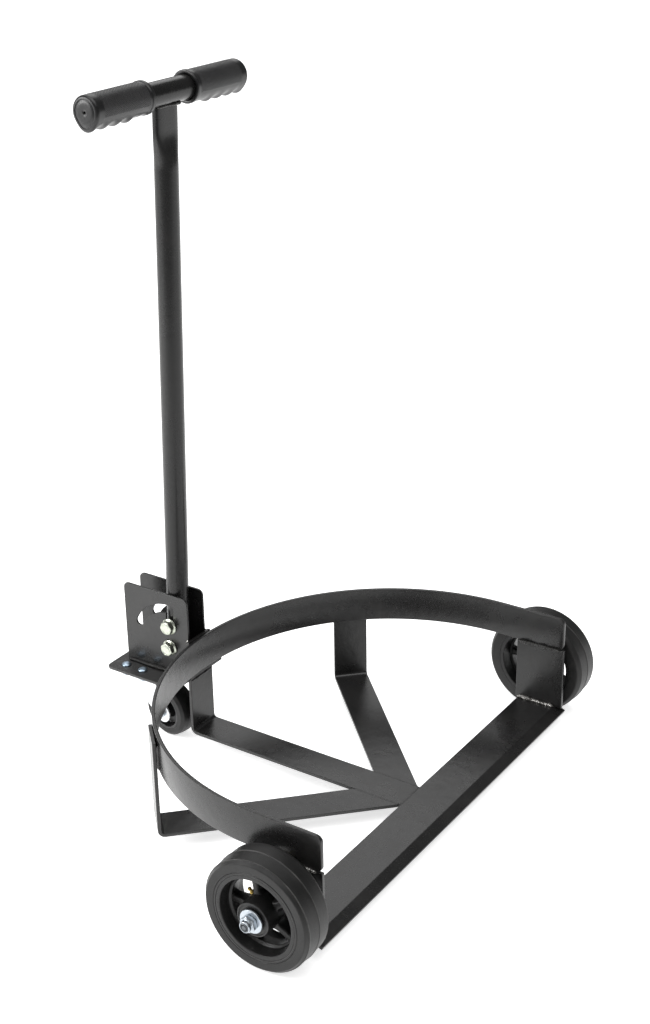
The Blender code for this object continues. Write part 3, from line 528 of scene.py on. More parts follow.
def weldBead(name, route, size, finish, seed, body="frame", pitch=beadSpec["pitch"]):
    # a row of overlapping puddles: the radius rises and falls once for each puddle, and the bead wanders
    dice = np.random.default_rng(seed)
    route = np.array(route, float)
    legs = np.linalg.norm(np.diff(route, axis=0), axis=1)
    total = legs.sum()
    stations = int(total / pitch * beadSpec["rows"])
    s = np.linspace(0, total, stations)
    marks = np.concatenate([[0], np.cumsum(legs)])
    line = np.stack([np.interp(s, marks, route[:, k]) for k in range(3)], axis=-1)
    knots = np.linspace(0, total, max(4, int(total / beadSpec["knot"])))
    wander = np.interp(s, knots, dice.uniform(-1, 1, len(knots)))
    swell = np.interp(s, knots, dice.uniform(*beadSpec["swell"], len(knots)))
    ripple = 0.78 + 0.32 * np.abs(np.sin(math.pi * s / pitch + 1.5 * wander)) ** 0.6
    ends = np.sqrt(np.clip(np.minimum(s, total - s) / (size * beadSpec["taper"]), 0.02, 1))
    radius = size * ripple * swell * ends
    along = np.gradient(line, axis=0)
    along /= np.linalg.norm(along, axis=1)[:, None]
    helper = np.where(np.abs(along[:, 2:3]) > 0.9, [[1.0, 0, 0]], [[0, 0, 1.0]])
    side = np.cross(along, helper)
    side /= np.linalg.norm(side, axis=1)[:, None]
    other = np.cross(along, side)
    turn = angles(beadSpec["around"])
    walk = dice.normal(size=(stations, beadSpec["around"])).cumsum(axis=0)
    lumps = 1 + beadSpec["lumps"] * walk / np.sqrt(np.arange(1, stations + 1))[:, None]
    r = radius[:, None] * lumps
    centre = line + side * (wander * size * beadSpec["drift"])[:, None]
    grid = centre[:, None] + (r * np.cos(turn))[..., None] * side[:, None]
    grid = grid + (r * np.sin(turn) * beadSpec["flat"])[..., None] * other[:, None]
    gridPiece(name, [(grid, False)], finish, body, sharp=None)


beadSize = {
    "foot": 0.0034, "hoop": 0.0036, "outer": 0.0030, "upright": 0.0026, "ear": 0.0026, "earFront": 0.0024,
    "rear": 0.0017, "tBar": 0.0031,
}
longPitch = 0.0042
hoopLow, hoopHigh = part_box("hoop")
plateLow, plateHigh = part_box("right_side_plate")
hoopCentreY = hoopHigh[1] - hoopHigh[0]
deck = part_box("rear_spoke")[0][2] + hoopSpec["flat"]
for side, label in ((1, "right"), (-1, "left")):
    # along the side plate's foot, then under the band, inside and outside
    x, outer = side * plateLow[0], side * plateLow[0] + side * (plateHigh[0] - plateLow[0])
    y0, y1, z = plateLow[1] + 0.012, plateHigh[1] - 0.003, hoopLow[2]
    route = [(x - side * 0.0012, y0, deck + 0.0014), (x - side * 0.0016, y1, deck + 0.0018)]
    weldBead(label + "_foot_weld", route, beadSize["foot"], weldBright, 11 + side)
    route = [(x - side * 0.0005, y0 - 0.006, z - 0.001), (x - side * 0.0009, y1, z - 0.0015)]
    weldBead(label + "_hoop_weld", route, beadSize["hoop"], weldPainted, 21 + side, pitch=longPitch)
    route = [(outer, y0 - 0.004, z - 0.0006), (outer, y1, z - 0.001)]
    weldBead(label + "_outer_weld", route, beadSize["outer"], weldBright, 25 + side, pitch=longPitch)

# meet: where the spokes' centre lines cross, ahead of the hoop's centre
spokeSpec = {"half": 0.025, "bead": 0.0258, "meet": -0.0170}


def uprightWelds(node, turn, seed):
    # two beads up the sides of a spoke's upright, where it meets the hoop's curve
    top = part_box(node)[1][2]
    spin = turnZ(turn)
    for side, label in ((1, "a"), (-1, "b")):
        x = side * spokeSpec["bead"] + spokeSpec["meet"] * math.sin(turn)
        y = math.sqrt((hoopHigh[0] + 0.0006) ** 2 - x * x)
        spot = spin @ np.array([x, y, 0]) + np.array([0, hoopCentreY, 0])
        route = [(spot[0], spot[1], hoopLow[2] + 0.003), (spot[0], spot[1], top - 0.003)]
        weldBead(f"{node}_weld_{label}", route, beadSize["upright"], weldPainted, seed + side)


uprightWelds("rear_spoke", 0.0, 31)
uprightWelds("right_spoke", -math.pi / 4, 41)
uprightWelds("left_spoke", math.pi / 4, 51)

jointSpec = {"wide": 0.0022, "tall": 0.0003, "round": 0.45, "rows": 60, "knots": 14, "wander": 0.25}


def groundJoint(name, first, last):
    # weld ground level with the deck and painted over: a thin wavy strip
    first, last = np.array(first, float), np.array(last, float)
    t = np.linspace(0, 1, jointSpec["rows"])[:, None]
    line = first + (last - first) * t
    along = (last - first) / np.linalg.norm(last - first)
    across = np.cross([0, 0, 1.0], along)
    dice = np.random.default_rng(len(name))
    knots, wander = np.linspace(0, 1, jointSpec["knots"]), jointSpec["wander"]
    width = 1 + np.interp(t[:, 0], knots, dice.uniform(-wander, wander, len(knots)))
    section = roundBar(jointSpec["wide"], jointSpec["tall"], jointSpec["tall"] * jointSpec["round"])
    grid = line[:, None] + (width[:, None] * section[None, :, 0])[..., None] * across
    grid = grid + section[None, :, 1:2] * np.array([0, 0, 1.0])
    gridPiece(name, [(grid, False)], paint, "frame", sharp=None)


level = deck + 0.00005
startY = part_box("rear_spoke")[0][1] - gap / 2
halfWide = spokeSpec["half"]
groundJoint("bar_joint", (-halfWide, startY, level), (halfWide, startY, level))
# the side spokes' edges cross the rear one's side at meet -+ half * sqrt(2) + half along it
for side, label in ((1, "right"), (-1, "left")):
    x = side * (halfWide + gap / 2)
    ends = [hoopCentreY + spokeSpec["meet"] + k * halfWide * math.sqrt(2) + halfWide for k in (-1, 1)]
    groundJoint(label + "_spoke_joint", (x, max(ends[0], startY), level), (x, ends[1] - 0.0004, level))

earLow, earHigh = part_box("right_ear")
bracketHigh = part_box("bracket_plate")[1]
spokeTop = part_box("rear_spoke")[1][2]
for side, label in ((1, "right"), (-1, "left")):
    x, y, z = side * (earHigh[0] + 0.0012), earLow[1], bracketHigh[2]
    route = [(x, y + 0.006, z + 0.0013), (x, earHigh[1] - 0.003, z + 0.0013)]
    weldBead(label + "_ear_weld", route, beadSize["ear"], weldPainted, 61 + side)
    route = [(x, y + 0.0008, z + 0.010), (x, y + 0.0008, spokeTop + 0.001)]
    finish = weldBright if side < 0 else weldPainted
    weldBead(label + "_ear_front_weld", route, beadSize["earFront"], finish, 71 + side)
y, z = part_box("rear_spoke")[1][1] - hoopSpec["flat"] + 0.0002, bracketHigh[2]
route = [(-0.0245, y, z - 0.001), (0.0245, y, z - 0.0006)]
weldBead("rear_upright_weld", route, beadSize["rear"], weldPainted, 81)
print("welds made")


m12 = {
    "radius": 0.006, "pitch": 0.00175, "steps": 40, "cone": 0.001, "across": 0.018, "head": 0.0103,
    "flange": (0.012, 0.0032),
}
m8 = {"radius": 0.004, "pitch": 0.00125, "steps": 28, "cone": 0.0007, "across": 0.013, "head": 0.0053}
threadDepth = 0.00085
handleLean = turnX(math.radians(2.03))


def threadedEnd(x0, x1, size):
    # helical thread: depth falls off either side of a crest that climbs one pitch each turn
    pitch, steps, radius = size["pitch"], size["steps"], size["radius"]
    count = max(12, int((x1 - x0) / pitch * 8))
    x = np.linspace(x0, x1, count)[:, None] + np.zeros((1, steps))
    turn = angles(steps)[None, :] + np.zeros((count, 1))
    phase = (x / pitch - turn / (2 * math.pi)) % 1
    r = radius - threadDepth * np.abs(2 * phase - 1)
    r = np.minimum(r, radius - size["cone"] + (x1 - x))
    return np.stack([x, r * np.cos(turn), r * np.sin(turn)], axis=-1)


def hexSolid(x0, x1, across, steps=72, flange=None, crown=True):
    # sides follow a hexagon, cut by a cone at the outer end; an optional flange starts at x0
    if flange:
        wide, thick = flange
        rim = [(x0, 0.004), (x0, wide), (x0 + thick * 0.55, wide), (x0 + thick, across * 0.53)]
        rows = [(x, r, False) for x, r in softened(rim, (0.0003, 0.0009), 4)]
        start = x0 + thick
    else:
        rows = [(x0, 0.004, False), (x0, across * 0.47, False)]
        start = x0 + 0.0003
    rows += [(x, None, True) for x in np.linspace(start, x1, 14)]
    if crown:
        rows += [(x1 + 0.0001, across * 0.40, False), (x1 - 0.0003, across * 0.36, False)]
    rows.append((x1 - (0.0003 if crown else 0), 0.002, False))
    turn = angles(steps)
    out = []
    for x, r, sided in rows:
        if sided:
            hexSide = hexRadius(turn, across) - 0.0002 * (np.cos(6 * turn) * 0.5 + 0.5) ** 8
            r = np.minimum(hexSide, across * 0.475 + (x1 - x) * 1.7)
            if not flange:
                r = np.minimum(r, across * 0.475 + (x - x0) * 1.7)
        else:
            r = np.full(steps, r)
        out.append(np.stack([np.full(steps, x), r * np.cos(turn), r * np.sin(turn)], axis=-1))
    return np.array(out)


pivot = middle("pivot_bolt")
outwards = np.array([-1, 1, 1])
for node, body, turned in (("pivot", "frame", 14), ("lock", "handle", -9)):
    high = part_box(node + "_bolt")[1]
    spot = middle(node + "_bolt")
    nutLow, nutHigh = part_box(node + "_nut")
    face = -earHigh[0] - gap
    spin = handleLean @ turnX(math.radians(turned))
    head = hexSolid(0, m12["head"], m12["across"], flange=m12["flange"]) * outwards
    shank = [(0, 0.003), (0, m12["radius"]), (0.050, m12["radius"]), (0.050, 0.003)]
    shank = lathe(softened(shank, (0.0002, 0.0002)), 36)
    thread = threadedEnd(0.0495, high[0] - face, m12)
    parts = [(placed(g, (face, spot[1], spot[2]), spin), False) for g in (head, shank, thread)]
    standIn(node + "_bolt", parts, zincYellow, body, 30)
    nut = hexSolid(0, nutHigh[0] - nutLow[0], m12["across"], flange=m12["flange"], crown=False)
    parts = [(placed(nut, (nutLow[0], spot[1], spot[2]), spin), False)]
    standIn(node + "_nut", parts, zincYellow, body, 30)

domeLine = [(-0.0030, 0.0001), (-0.0029, 0.0040), (-0.0019, 0.0062), (0, 0.0072), (0, 0.004)]
dome = lathe(softened(domeLine, (0.004, 0.003, 0.0003), 5), 48)
for number in range(1, 5):
    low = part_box(f"plate_bolt_{number}")[0]
    spot = middle(f"plate_bolt_{number}")
    seat = bracketHigh[2] + gap
    shank = lathe([(0, 0.001), (0, m8["radius"]), (0.012, m8["radius"]), (0.012, 0.001)], m8["steps"])
    thread = threadedEnd(0.0118, seat - low[2], m8)
    parts = [(placed(g, (spot[0], spot[1], seat), standUp), False) for g in (dome, shank, thread)]
    standIn(f"plate_bolt_{number}", parts, zincBlue, "frame", 40)
    low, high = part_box(f"plate_nut_{number}")
    nut = hexSolid(0, high[2] - low[2], m8["across"], 48, crown=False)
    parts = [(placed(nut, (spot[0], spot[1], high[2]), turnZ(0.3 * number) @ standUp), False)]
    standIn(f"plate_nut_{number}", parts, zinc, "frame", 30)
print("fasteners made")


wheelSpec = {
    "rim": 0.0566, "opening": 0.051, "ridge": 0.0006, "side": 0.0712,
    "spokes": 5, "spokeWide": 0.0095, "spokeDeep": 0.0062, "spokeFrom": 0.0195, "spokeTo": 0.0495,
    "spokeTurn": math.radians(36), "nippleTilt": math.radians(36), "nippleSeat": 0.0229,
    "innerWasher": 0.012, "outerWasher": 0.0157, "nutAcross": 0.019, "nutTurn": 0.35,
}


def wheelSpoke(angle):
    # a rib from hub to rim: an oval section that thins in the middle and flares at both ends
    t = np.linspace(0, 1, 26)[:, None]
    reach = wheelSpec["spokeFrom"] + (wheelSpec["spokeTo"] - wheelSpec["spokeFrom"]) * t
    wide = wheelSpec["spokeWide"] / 2 * (1 + 1.1 * (2 * t - 1) ** 4)
    deep = wheelSpec["spokeDeep"] * (1 + 0.7 * (1 - t) ** 2)
    turn = angles(28)[None, :]
    power = 0.45
    c = np.sign(np.cos(turn)) * np.abs(np.cos(turn)) ** power
    s = np.sign(np.sin(turn)) * np.abs(np.sin(turn)) ** power
    return np.stack([deep * s, reach + 0 * turn, wide * c], axis=-1) @ turnX(angle).T


wheelLow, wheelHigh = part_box("right_wheel_tyre")
wheelHalf = (wheelHigh[0] - wheelLow[0]) / 2
# the mould lines, each with a painted highlight: round the middle of the tread, at its shoulder and at the
# rim
wheelRubber = tyreRubber("wheelRubber", middle("right_wheel_tyre"), (
    (0.0, 0.0760, 0.0009), (wheelHalf - 0.0048, 0.0749, 0.0008), (wheelHalf, wheelSpec["rim"], 0.0009),
))


def fixedWheel(label, side):
    # drawn along X from the tyre's middle, outwards; the left wheel is the mirror of the right one
    name = label + "_wheel"
    centre = middle(name + "_tyre")
    low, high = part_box(name + "_tyre")
    half, outer = (high[0] - low[0]) / 2, (high[2] - low[2]) / 2
    rim, opening, ridge = wheelSpec["rim"], wheelSpec["opening"], wheelSpec["ridge"]
    flip = np.diag([side, 1.0, 1.0])

    def put(node, shapes, finish, body, sharp):
        parts = [(placed(grid, centre, flip), closes) for grid, closes in shapes]
        standIn(f"{name}_{node}", parts, finish, body, sharp)

    def along(node):
        low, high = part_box(f"{name}_{node}")
        return sorted(((low[0] - centre[0]) * side, (high[0] - centre[0]) * side))

    tyre = [(-half, rim + gap), (-half, 0.0705), (-half + 0.0055, outer - 0.0012), (-0.0012, outer - ridge)]
    tyre += [(-0.0006, outer), (0.0006, outer), (0.0012, outer - ridge), (half - 0.0062, outer - 0.0012)]
    tyre += [(half - 0.0048, outer - 0.0010), (half - 0.0044, outer - 0.0022)]
    tyre += [(half - 0.0005, wheelSpec["side"]), (half, 0.0700), (half - 0.0002, 0.0605)]
    tyre += [(half - 0.0009, 0.0600), (half, 0.0592), (half, rim + gap)]
    radii = (0.004, 0.002, 0.0004, 0.0002, 0.0002, 0.0004, 0.0006, 0.0005, 0.0006, 0.001, 0.0015)
    outside = softened(tyre, radii + (0.0005, 0.0004, 0.0004), 5)
    inside = np.array([(half - 0.0012, rim + 0.0001), (0, rim + 0.0001), (-half + 0.0012, rim + 0.0001)])
    grid = lathe(np.concatenate([outside, inside]), 144)
    put("tyre", [(grid, True)], wheelRubber, name, 28)

    hubIn, hubOut = along("centre")
    edge = half - 0.0002
    ring = [(-edge, rim), (edge, rim), (edge, opening), (0.0085, 0.0488), (0.0065, 0.0455)]
    ring += [(-0.0065, 0.0455), (-0.0085, 0.0488), (-edge, opening), (-edge, rim)]
    ringLine = softened(ring, (0.0006, 0.0016, 0.003, 0.002, 0.002, 0.003, 0.0016), 5)
    hub = [(hubIn, 0.0083), (hubIn, 0.0188), (-0.014, 0.0225), (0.012, 0.0232), (hubOut - 0.004, 0.0228)]
    hub += [(hubOut, 0.0225), (hubOut, 0.0203), (hubOut - 0.0009, 0.0199), (hubOut - 0.0009, 0.0083)]
    hubLine = softened(hub, (0.0010, 0.006, 0.006, 0.001, 0.0009, 0.0004, 0.0004), 4)
    shapes = [(lathe(ringLine[:-1], 128), True), (lathe(hubLine, 96), True)]
    for k in range(wheelSpec["spokes"]):
        turn = 2 * math.pi * (k + 0.5) / wheelSpec["spokes"] + wheelSpec["spokeTurn"]
        shapes.append((wheelSpoke(turn), False))
    put("centre", shapes, casting, name, 40)

    x0, x1 = along("bush")
    sleeve = softened([(x0, 0.0064), (x0, 0.0080), (x1, 0.0080), (x1, 0.0064)], (0.0003, 0.0003))
    put("bush", [(lathe(sleeve, 48), True)], bronze, name, 35)

    # a grease nipple: a hexagon, a neck and a ball, leaning out from the hub
    c, s = math.cos(wheelSpec["nippleTilt"]), math.sin(wheelSpec["nippleTilt"])
    line = [(0, 0.001), (0, 0.0032), (0.0035, 0.0034), (0.0036, 0.0020), (0.0050, 0.0019), (0.0056, 0.0026)]
    line += [(0.0072, 0.0025), (0.0088, 0.0013), (0.0086, 0.0003)]
    line = softened(line, (0.0001, 0.0002, 0.0003, 0.0006, 0.0005, 0.0006, 0.0004), 3)

    def hexFoot(x, turn, r):
        return np.where(x < 0.00355, np.minimum(r, hexRadius(turn, 0.0062)), r)

    outTurn = np.array([[0, 1, 0], [c, 0, -s], [s, 0, c]])
    grid = placed(lathe(line, 36, hexFoot), np.array([0, c, s]) * wheelSpec["nippleSeat"], outTurn)
    gridPiece(name + "_nipple_shown", [(placed(grid, centre, flip), False)], brassMetal, name,
              (name + "_grease_nipple",), 35)

    x0, x1 = along("stud")
    tip, r = x1 - 0.0155, m12["radius"]
    shank = [(x0, 0.002), (x0, 0.0055), (x0 + 0.0005, r), (tip, r), (tip, 0.002)]
    shank = lathe(softened(shank, (0.0003, 0.0002, 0.0002)), 36)
    dimple = [(x1 - 0.0004, 0.0047), (x1, 0.0046), (x1, 0.0030), (x1 - 0.0012, 0.0004)]
    dimple = lathe(softened(dimple, (0.0002, 0.0005)), 32)
    shapes = [(grid, False) for grid in (shank, threadedEnd(tip - 0.0003, x1, m12), dimple)]
    put("stud", shapes, darkSteel, "frame", 35)
    for node, r in (("inner_washer", wheelSpec["innerWasher"]), ("outer_washer", wheelSpec["outerWasher"])):
        x0, x1 = along(node)
        ring = softened([(x0, 0.0063), (x0, r), (x1, r), (x1, 0.0063)], (0.0005, 0.0009), 4)
        put(node, [(lathe(ring, 72), True)], zinc, "frame", 35)
    x0, x1 = along("nut")
    nut = hexSolid(x0, x0 + 0.0074, wheelSpec["nutAcross"], crown=False) @ turnX(wheelSpec["nutTurn"]).T
    collar = [(x0 + 0.0070, 0.0062), (x0 + 0.0070, 0.0084), (x0 + 0.0078, 0.0075), (x1 - 0.0006, 0.0074)]
    collar += [(x1, 0.0068), (x1, 0.0061)]
    collar = lathe(softened(collar, (0.0002, 0.0006, 0.0012, 0.0006), 4), 48)
    put("nut", [(nut, False), (collar, True)], zinc, "frame", 30)


fixedWheel("right", 1)
fixedWheel("left", -1)
print("fixed wheels made")


handleSpec = {
    "tube": 0.0158, "wall": 0.0025, "foot": -0.0365, "flatWide": 0.0057, "flatThin": 0.0098,
    "flatFrom": 0.080, "flatTo": 0.030, "weldApart": 0.0072, "weldHalf": 0.022,
}
barMiddle = middle("t_bar")
tubeUp = handleLean @ np.array([0, 0, 1.0])


def handleTube():
    # superellipse section whose half widths and power go from round to pressed flat near the top
    top = (barMiddle - np.array([0, pivot[1], pivot[2]])) @ tubeUp - handleSpec["tube"] - gap
    bottom = handleSpec["foot"]
    flatFrom, flatTo = top - handleSpec["flatFrom"], top - handleSpec["flatTo"]
    z = np.concatenate([[bottom, bottom + 0.0006], np.linspace(bottom + 0.01, flatFrom, 40),
                        np.linspace(flatFrom, flatTo, 50)[1:], np.linspace(flatTo, top, 8)[1:]])
    t = np.clip((z - flatFrom) / (flatTo - flatFrom), 0, 1)
    press = t * t * (3 - 2 * t)
    turn = angles(80)[None, :]
    power = (1 - 0.5 * press)[:, None]
    c = np.sign(np.cos(turn)) * np.abs(np.cos(turn)) ** power
    s = np.sign(np.sin(turn)) * np.abs(np.sin(turn)) ** power

    def shell(cutBack):
        x = (handleSpec["tube"] - cutBack + handleSpec["flatWide"] * press)[:, None] * c
        y = (handleSpec["tube"] - cutBack - handleSpec["flatThin"] * press)[:, None] * s
        return np.stack([x, y, z[:, None] + 0 * turn], axis=-1)

    outer, inner = shell(0.0), shell(handleSpec["wall"])
    outer[0] = outer[0] * 0.5 + inner[0] * 0.5
    grid = np.concatenate([inner[:-9][::-1], outer])
    grid = placed(grid, (0, pivot[1], pivot[2]), handleLean)
    standIn("handle_tube", [(grid, False)], tubePaint, "handle", sharp=50)


def crossHandle():
    low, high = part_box("t_bar")
    half = (high[0] - low[0]) / 2
    r, wall = handleSpec["tube"], handleSpec["wall"]
    line = softened([(-half, r - wall), (-half, r), (half, r), (half, r - wall)], (0.0006, 0.0006))
    fill = np.stack([np.linspace(half, -half, 10)[1:-1], np.full(8, r - wall)], axis=-1)
    grid = placed(lathe(np.concatenate([line, fill]), 80), barMiddle, handleLean)
    standIn("t_bar", [(grid, True)], tubePaint, "handle", sharp=50)
    z = 0.0016 - (r + 0.0006)
    for side, label in ((1, "rear"), (-1, "front")):
        y = side * handleSpec["weldApart"]
        row = np.linspace(-handleSpec["weldHalf"], handleSpec["weldHalf"], 9)
        spots = np.array([(x, y + side * 0.0012 * math.sin(40 * x), z) for x in row])
        route = placed(spots, barMiddle, handleLean)
        weldBead(f"t_bar_weld_{label}", route, beadSize["tBar"], weldPainted, 91 + side, "handle", 0.0034)


gripSpec = {
    "radius": 0.0207, "cap": 0.014, "collar": 0.0055, "ridge": 0.0042, "pitch": 0.022, "cell": 0.0027,
    "around": 288, "rows": 250, "capRound": 0.0045, "knurl": 0.0004,
}


def handGrip(label, side):
    # radius(x, angle): round, a collar at the inner end, a raised knurled panel over the top and a
    # finger rib below that rises and falls once for each finger
    low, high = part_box(label + "_grip")
    inner, outer = sorted((abs(low[0]), abs(high[0])))
    r0, cap = gripSpec["radius"], gripSpec["cap"]
    turn = angles(gripSpec["around"])[None, :]
    x = np.linspace(inner + 0.0007, outer - gripSpec["capRound"], gripSpec["rows"])[:, None]
    down = np.maximum(0.0, -np.sin(turn))
    wave = 0.5 + 0.5 * np.cos(2 * math.pi * (outer - 0.004 - x) / gripSpec["pitch"])
    fade = np.clip((x - inner - 0.016) / 0.02, 0, 1)
    rib = gripSpec["ridge"] * wave * fade * down ** 6
    collar = 0.0010 / (1 + np.exp((x - inner - gripSpec["collar"]) / 0.00025))
    panelAlong = 1 / (1 + np.exp(-(x - inner - 0.0095) / 0.0003)) / (1 + np.exp((x - outer + cap) / 0.0003))
    panelRound = 1 / (1 + np.exp(-(np.sin(turn) + 0.30) / 0.02))
    panel = panelAlong * panelRound
    aroundCells = round(2 * math.pi * r0 / gripSpec["cell"])
    u, v = x / gripSpec["cell"], turn / (2 * math.pi) * aroundCells
    # diamonds: both families of grooves are sin^2, and the lower one wins
    knurl = np.minimum(np.sin(math.pi * (u + v)) ** 2, np.sin(math.pi * (u - v)) ** 2)
    radius = r0 - 0.0006 + rib + collar + 0.0002 * (1 - panelAlong)
    radius = radius + (0.0001 + gripSpec["knurl"] * knurl) * panel
    body = np.stack([x + 0 * turn, radius * np.cos(turn), radius * np.sin(turn)], axis=-1)
    # the cap's edge is a quarter round, then a face with one shallow groove and a vent hole
    t = np.linspace(0, math.pi / 2, 9)[1:, None]
    edgeR = radius[-1:] - 0.0042 * (1 - np.cos(t))
    edgeX = outer - gripSpec["capRound"] + 0.0043 * np.sin(t)
    edge = np.stack([edgeX + 0 * turn, edgeR * np.cos(turn), edgeR * np.sin(turn)], axis=-1)
    shares = np.array([0.97, 0.955, 0.94, 0.925, 0.90, 0.6, 0.3, 0.13, 0.09, 0.085, 0.085])[:, None]
    sink = np.array([0.0, 0.0, 0.0006, 0.0006, 0.0002, 0.0001, 0.0, 0.0, 0.0005, 0.0015, 0.0040])[:, None]
    faceR = edgeR[-1:] * shares
    face = np.stack([outer - 0.0002 - sink + 0 * turn, faceR * np.cos(turn), faceR * np.sin(turn)], axis=-1)
    bore = handleSpec["tube"] + gap
    mouthX = np.array([inner + 0.010, inner + 0.001, inner + 0.0001, inner, inner + 0.0002])[:, None]
    mouthR = np.array([bore, bore, bore + 0.0005, r0 - 0.0010, r0 + 0.0002])[:, None]
    mouth = np.stack([mouthX + 0 * turn, mouthR * np.cos(turn), mouthR * np.sin(turn)], axis=-1)
    grid = np.concatenate([mouth, body, edge, face])
    cells = np.zeros(grid.shape[:2] + (2,))
    cells[..., 1] = offPanel
    rows = slice(len(mouth), len(mouth) + len(x))
    cells[rows, :, 0] = u + 0 * turn
    cells[rows, :, 1] = np.where(panel > 0.5, v + 0 * x, offPanel)
    grid = placed(grid * np.array([side, 1, 1]), barMiddle, handleLean)
    standIn(label + "_grip", [(grid, False)], gripKnurled, "handle", 60, cells.reshape(-1, 2))


handleTube()
crossHandle()
handGrip("right", 1)
handGrip("left", -1)
print("handle made")


casterSpec = {"turn": -8, "half": 0.016, "tread": 0.040, "hubHalf": 0.0172, "forkHalf": 0.0205, "nut": 0.0065}
casterTurn = turnZ(math.radians(casterSpec["turn"]))
hubSpot = middle("caster_tyre")
casterRubber = tyreRubber("casterRubber")


def casterWheel():
    # a rounded tread on a dished plastic centre
    half, outer, face = casterSpec["half"], casterSpec["tread"], casterSpec["hubHalf"]
    tyre = [(-half, 0.0278), (-half, 0.0345), (-half + 0.0035, 0.0388), (-0.005, outer), (0.005, outer)]
    tyre += [(half - 0.0035, 0.0388), (half, 0.0345), (half, 0.0278)]
    line = softened(tyre, (0.002, 0.002, 0.004, 0.004, 0.002, 0.002), 5)
    inside = np.array([(half - 0.001, 0.0276), (-half + 0.001, 0.0276)])
    grid = placed(lathe(np.concatenate([line, inside]), 112), hubSpot, casterTurn)
    standIn("caster_tyre", [(grid, True)], casterRubber, "caster_wheel", 28)
    web = [(-half, 0.0275), (half, 0.0275), (half, 0.0245), (0.005, 0.0225), (0.0045, 0.0125), (face, 0.0108)]
    web += [(face, 0.0064), (-face, 0.0064), (-face, 0.0108), (-0.0045, 0.0125), (-0.005, 0.0225)]
    web += [(-half, 0.0245), (-half, 0.0275)]
    radii = (0.0005, 0.001, 0.002, 0.002, 0.0008, 0.0004, 0.0004, 0.0008, 0.002, 0.002, 0.001)
    grid = placed(lathe(softened(web, radii, 4)[:-1], 80), hubSpot, casterTurn)
    standIn("caster_centre", [(grid, True)], gripSmooth, "caster_wheel", 35)


casterWheel()
swivel = np.array([0, middle("king_pin")[1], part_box("caster_plate")[1][2] + gap])
race = [(0.0031, 0.0085), (0.0031, 0.022), (0.009, 0.0275), (0.0115, 0.0275), (0.0115, 0.0260)]
race += [(0.0085, 0.0255), (0.0051, 0.0215), (0.0051, 0.0085)]
race = lathe(softened(race, (0.002, 0.003, 0.0004, 0.0004, 0.002, 0.002), 4), 72)
standIn("swivel_race", [(placed(race, swivel, standUp), True)], forkZinc, "frame", 30)
low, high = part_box("king_pin")
rise, drop = swivel[2] - high[2], swivel[2] - low[2]
pin = [(rise, 0.001), (rise, 0.006), (drop - 0.0030, 0.006), (drop - 0.0030, 0.0105)]
pin += [(drop - 0.0008, 0.0098), (drop, 0.0080), (drop, 0.0005)]
pin = lathe(softened(pin, (0.0003, 0.0002, 0.0004, 0.0006, 0.0009), 3), 48)
standIn("king_pin", [(placed(pin, swivel, standUp), False)], forkZinc, "frame", 30)
out = casterSpec["forkHalf"] + gap
bolt = hexSolid(0, m8["head"], m8["across"], 48) * outwards
shank = [(0, 0.001), (0, m8["radius"]), (2 * out + 0.001, m8["radius"]), (2 * out + 0.001, 0.001)]
shapes = (bolt, lathe(shank, m8["steps"]), threadedEnd(2 * out, 2 * out + 0.009, m8))
start = hubSpot + casterTurn @ np.array([-out, 0, 0])
parts = [(placed(grid, start, casterTurn), False) for grid in shapes]
standIn("caster_axle_bolt", parts, zinc, "caster_fork", 30)
end = hubSpot + casterTurn @ np.array([out, 0, 0])
nut = placed(hexSolid(0, casterSpec["nut"], m8["across"], 48, crown=False), end, casterTurn)
standIn("caster_axle_nut", [(nut, False)], zinc, "caster_fork", 30)
for node in ("ball_ring", "caster_axle_sleeve"):
    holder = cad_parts[node].data
    holder.materials.clear()
    holder.materials.append(forkZinc)
print("caster made")


studioSpec = {
    "sky": 0.15, "sun": 2.4, "sunWide": 70, "sunLean": (8, -6),
    "floorSpan": 14.0, "floorDrop": 0.0004, "floorGlow": 0.7, "farSide": (-2.1, -1.2),
}


def floorSheet():
    pot = finishPot("paleFloor", metal=0.0, shine=0.2, glowPower=studioSpec["floorGlow"])
    tone = pot.blend(pot.noise(3, 3), (0.86, 0.86, 0.86), (0.90, 0.90, 0.895))
    # a table lit from below; what mirrors it sees it fall dark behind the camera: s = 0.83 x + 0.56 y
    x, y, _ = pot.axes(pot.place)
    lit = pot.mask(x * 0.83 + y * 0.56, *studioSpec["farSide"])
    lit = lit.maths("MAXIMUM", pot.node("LightPath", out="Is Camera Ray"))
    glow = pot.blend(lit, (0.06, 0.06, 0.06), (1, 1, 1))
    tone = pot.blend(lit, (0.2, 0.2, 0.2), tone)
    finish = pot.wear(colour=tone, rough=0.7 + pot.noise(30, 2) * 0.1, glow=glow)
    corners = np.array([(-1, -1, 0), (1, -1, 0), (1, 1, 0), (-1, 1, 0)]) * studioSpec["floorSpan"]
    mesh = bpy.data.meshes.new("floor")
    mesh.from_pydata((corners - (0, 0, studioSpec["floorDrop"])).tolist(), [], [(0, 1, 2, 3)])
    mesh.materials.append(finish)
    made = bpy.data.objects.new("floor", mesh)
    bpy.context.scene.collection.objects.link(made)
    made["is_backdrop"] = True


def lamp(name, spot, aim, size, power):
    light = bpy.data.lights.new(name, "AREA")
    light.shape = "RECTANGLE"
    light.size, light.size_y = size
    light.energy = power
    made = bpy.data.objects.new(name, light)
    made.location = spot
    made.rotation_euler = (Vector(aim) - Vector(spot)).to_track_quat("-Z", "Y").to_euler()
    bpy.context.scene.collection.objects.link(made)


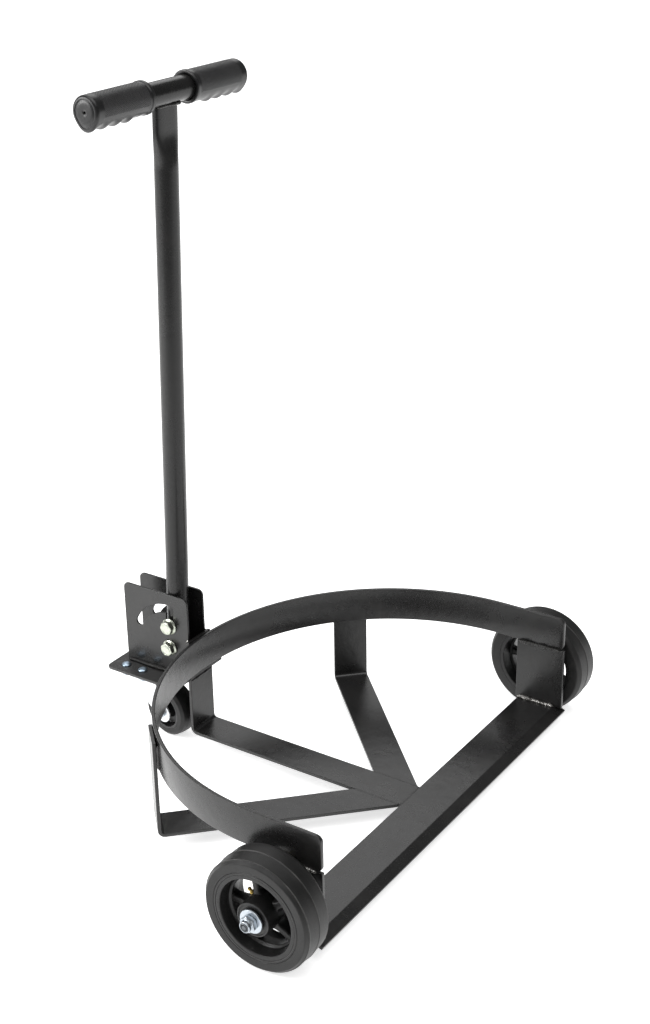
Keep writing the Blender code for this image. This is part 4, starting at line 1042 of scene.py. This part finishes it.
cameraSpec = {
    "azimuth": -55.88, "elevation": 23.85, "roll": -1.02, "spot": (-1.64398, -1.17820, 1.30892),
    "focal": 1.64699, "shift": (0.00006, -0.01158),  # both over the long side of the image
}


def shootingCamera():
    # looks along (-sin a cos e, cos a cos e, -sin e), turned by the roll round that line
    a, e, roll = (math.radians(cameraSpec[k]) for k in ("azimuth", "elevation", "roll"))
    ahead = Vector((-math.sin(a) * math.cos(e), math.cos(a) * math.cos(e), -math.sin(e)))
    right = Vector((math.cos(a), math.sin(a), 0))
    up = right.cross(ahead)
    right, up = right * math.cos(roll) + up * math.sin(roll), up * math.cos(roll) - right * math.sin(roll)
    data = bpy.data.cameras.new("camera")
    data.sensor_width = 36.0
    data.lens = cameraSpec["focal"] * data.sensor_width
    data.shift_x, data.shift_y = cameraSpec["shift"]
    data.clip_start, data.clip_end = 0.05, 50
    made = bpy.data.objects.new("camera", data)
    turn = Matrix((right, up, -ahead)).transposed().to_4x4()
    made.matrix_world = Matrix.Translation(cameraSpec["spot"]) @ turn
    bpy.context.scene.collection.objects.link(made)
    bpy.context.scene.camera = made


def studio():
    world = bpy.data.worlds.new("studio")
    world.use_nodes = True
    bpy.context.scene.world = world
    tree = world.node_tree
    sky = tree.nodes["Background"]
    sky.inputs["Color"].default_value = (1, 1, 1, 1)
    # white where it is looked at, and dim where it lights
    seen = wire(tree, tree.nodes.new("ShaderNodeLightPath").outputs["Is Camera Ray"])
    plug(tree, sky.inputs["Strength"], seen * (1 - studioSpec["sky"]) + studioSpec["sky"])
    sun = bpy.data.lights.new("tent", "SUN")
    sun.energy = studioSpec["sun"]
    sun.angle = math.radians(studioSpec["sunWide"])
    made = bpy.data.objects.new("tent", sun)
    made.rotation_euler = [math.radians(a) for a in studioSpec["sunLean"]] + [0]
    bpy.context.scene.collection.objects.link(made)
    lamp("back", (2.0, 2.05, 2.76), (0, 0, 0.05), (2.9, 2.0), 31)
    lamp("left", (-1.6, 1.5, 1.3), (-0.7, 0.35, 0), (1.3, 1.1), 42)
    bpy.context.scene.view_settings.view_transform = "Standard"


floorSheet()
studio()
shootingCamera()
low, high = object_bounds()
print("scene ready")
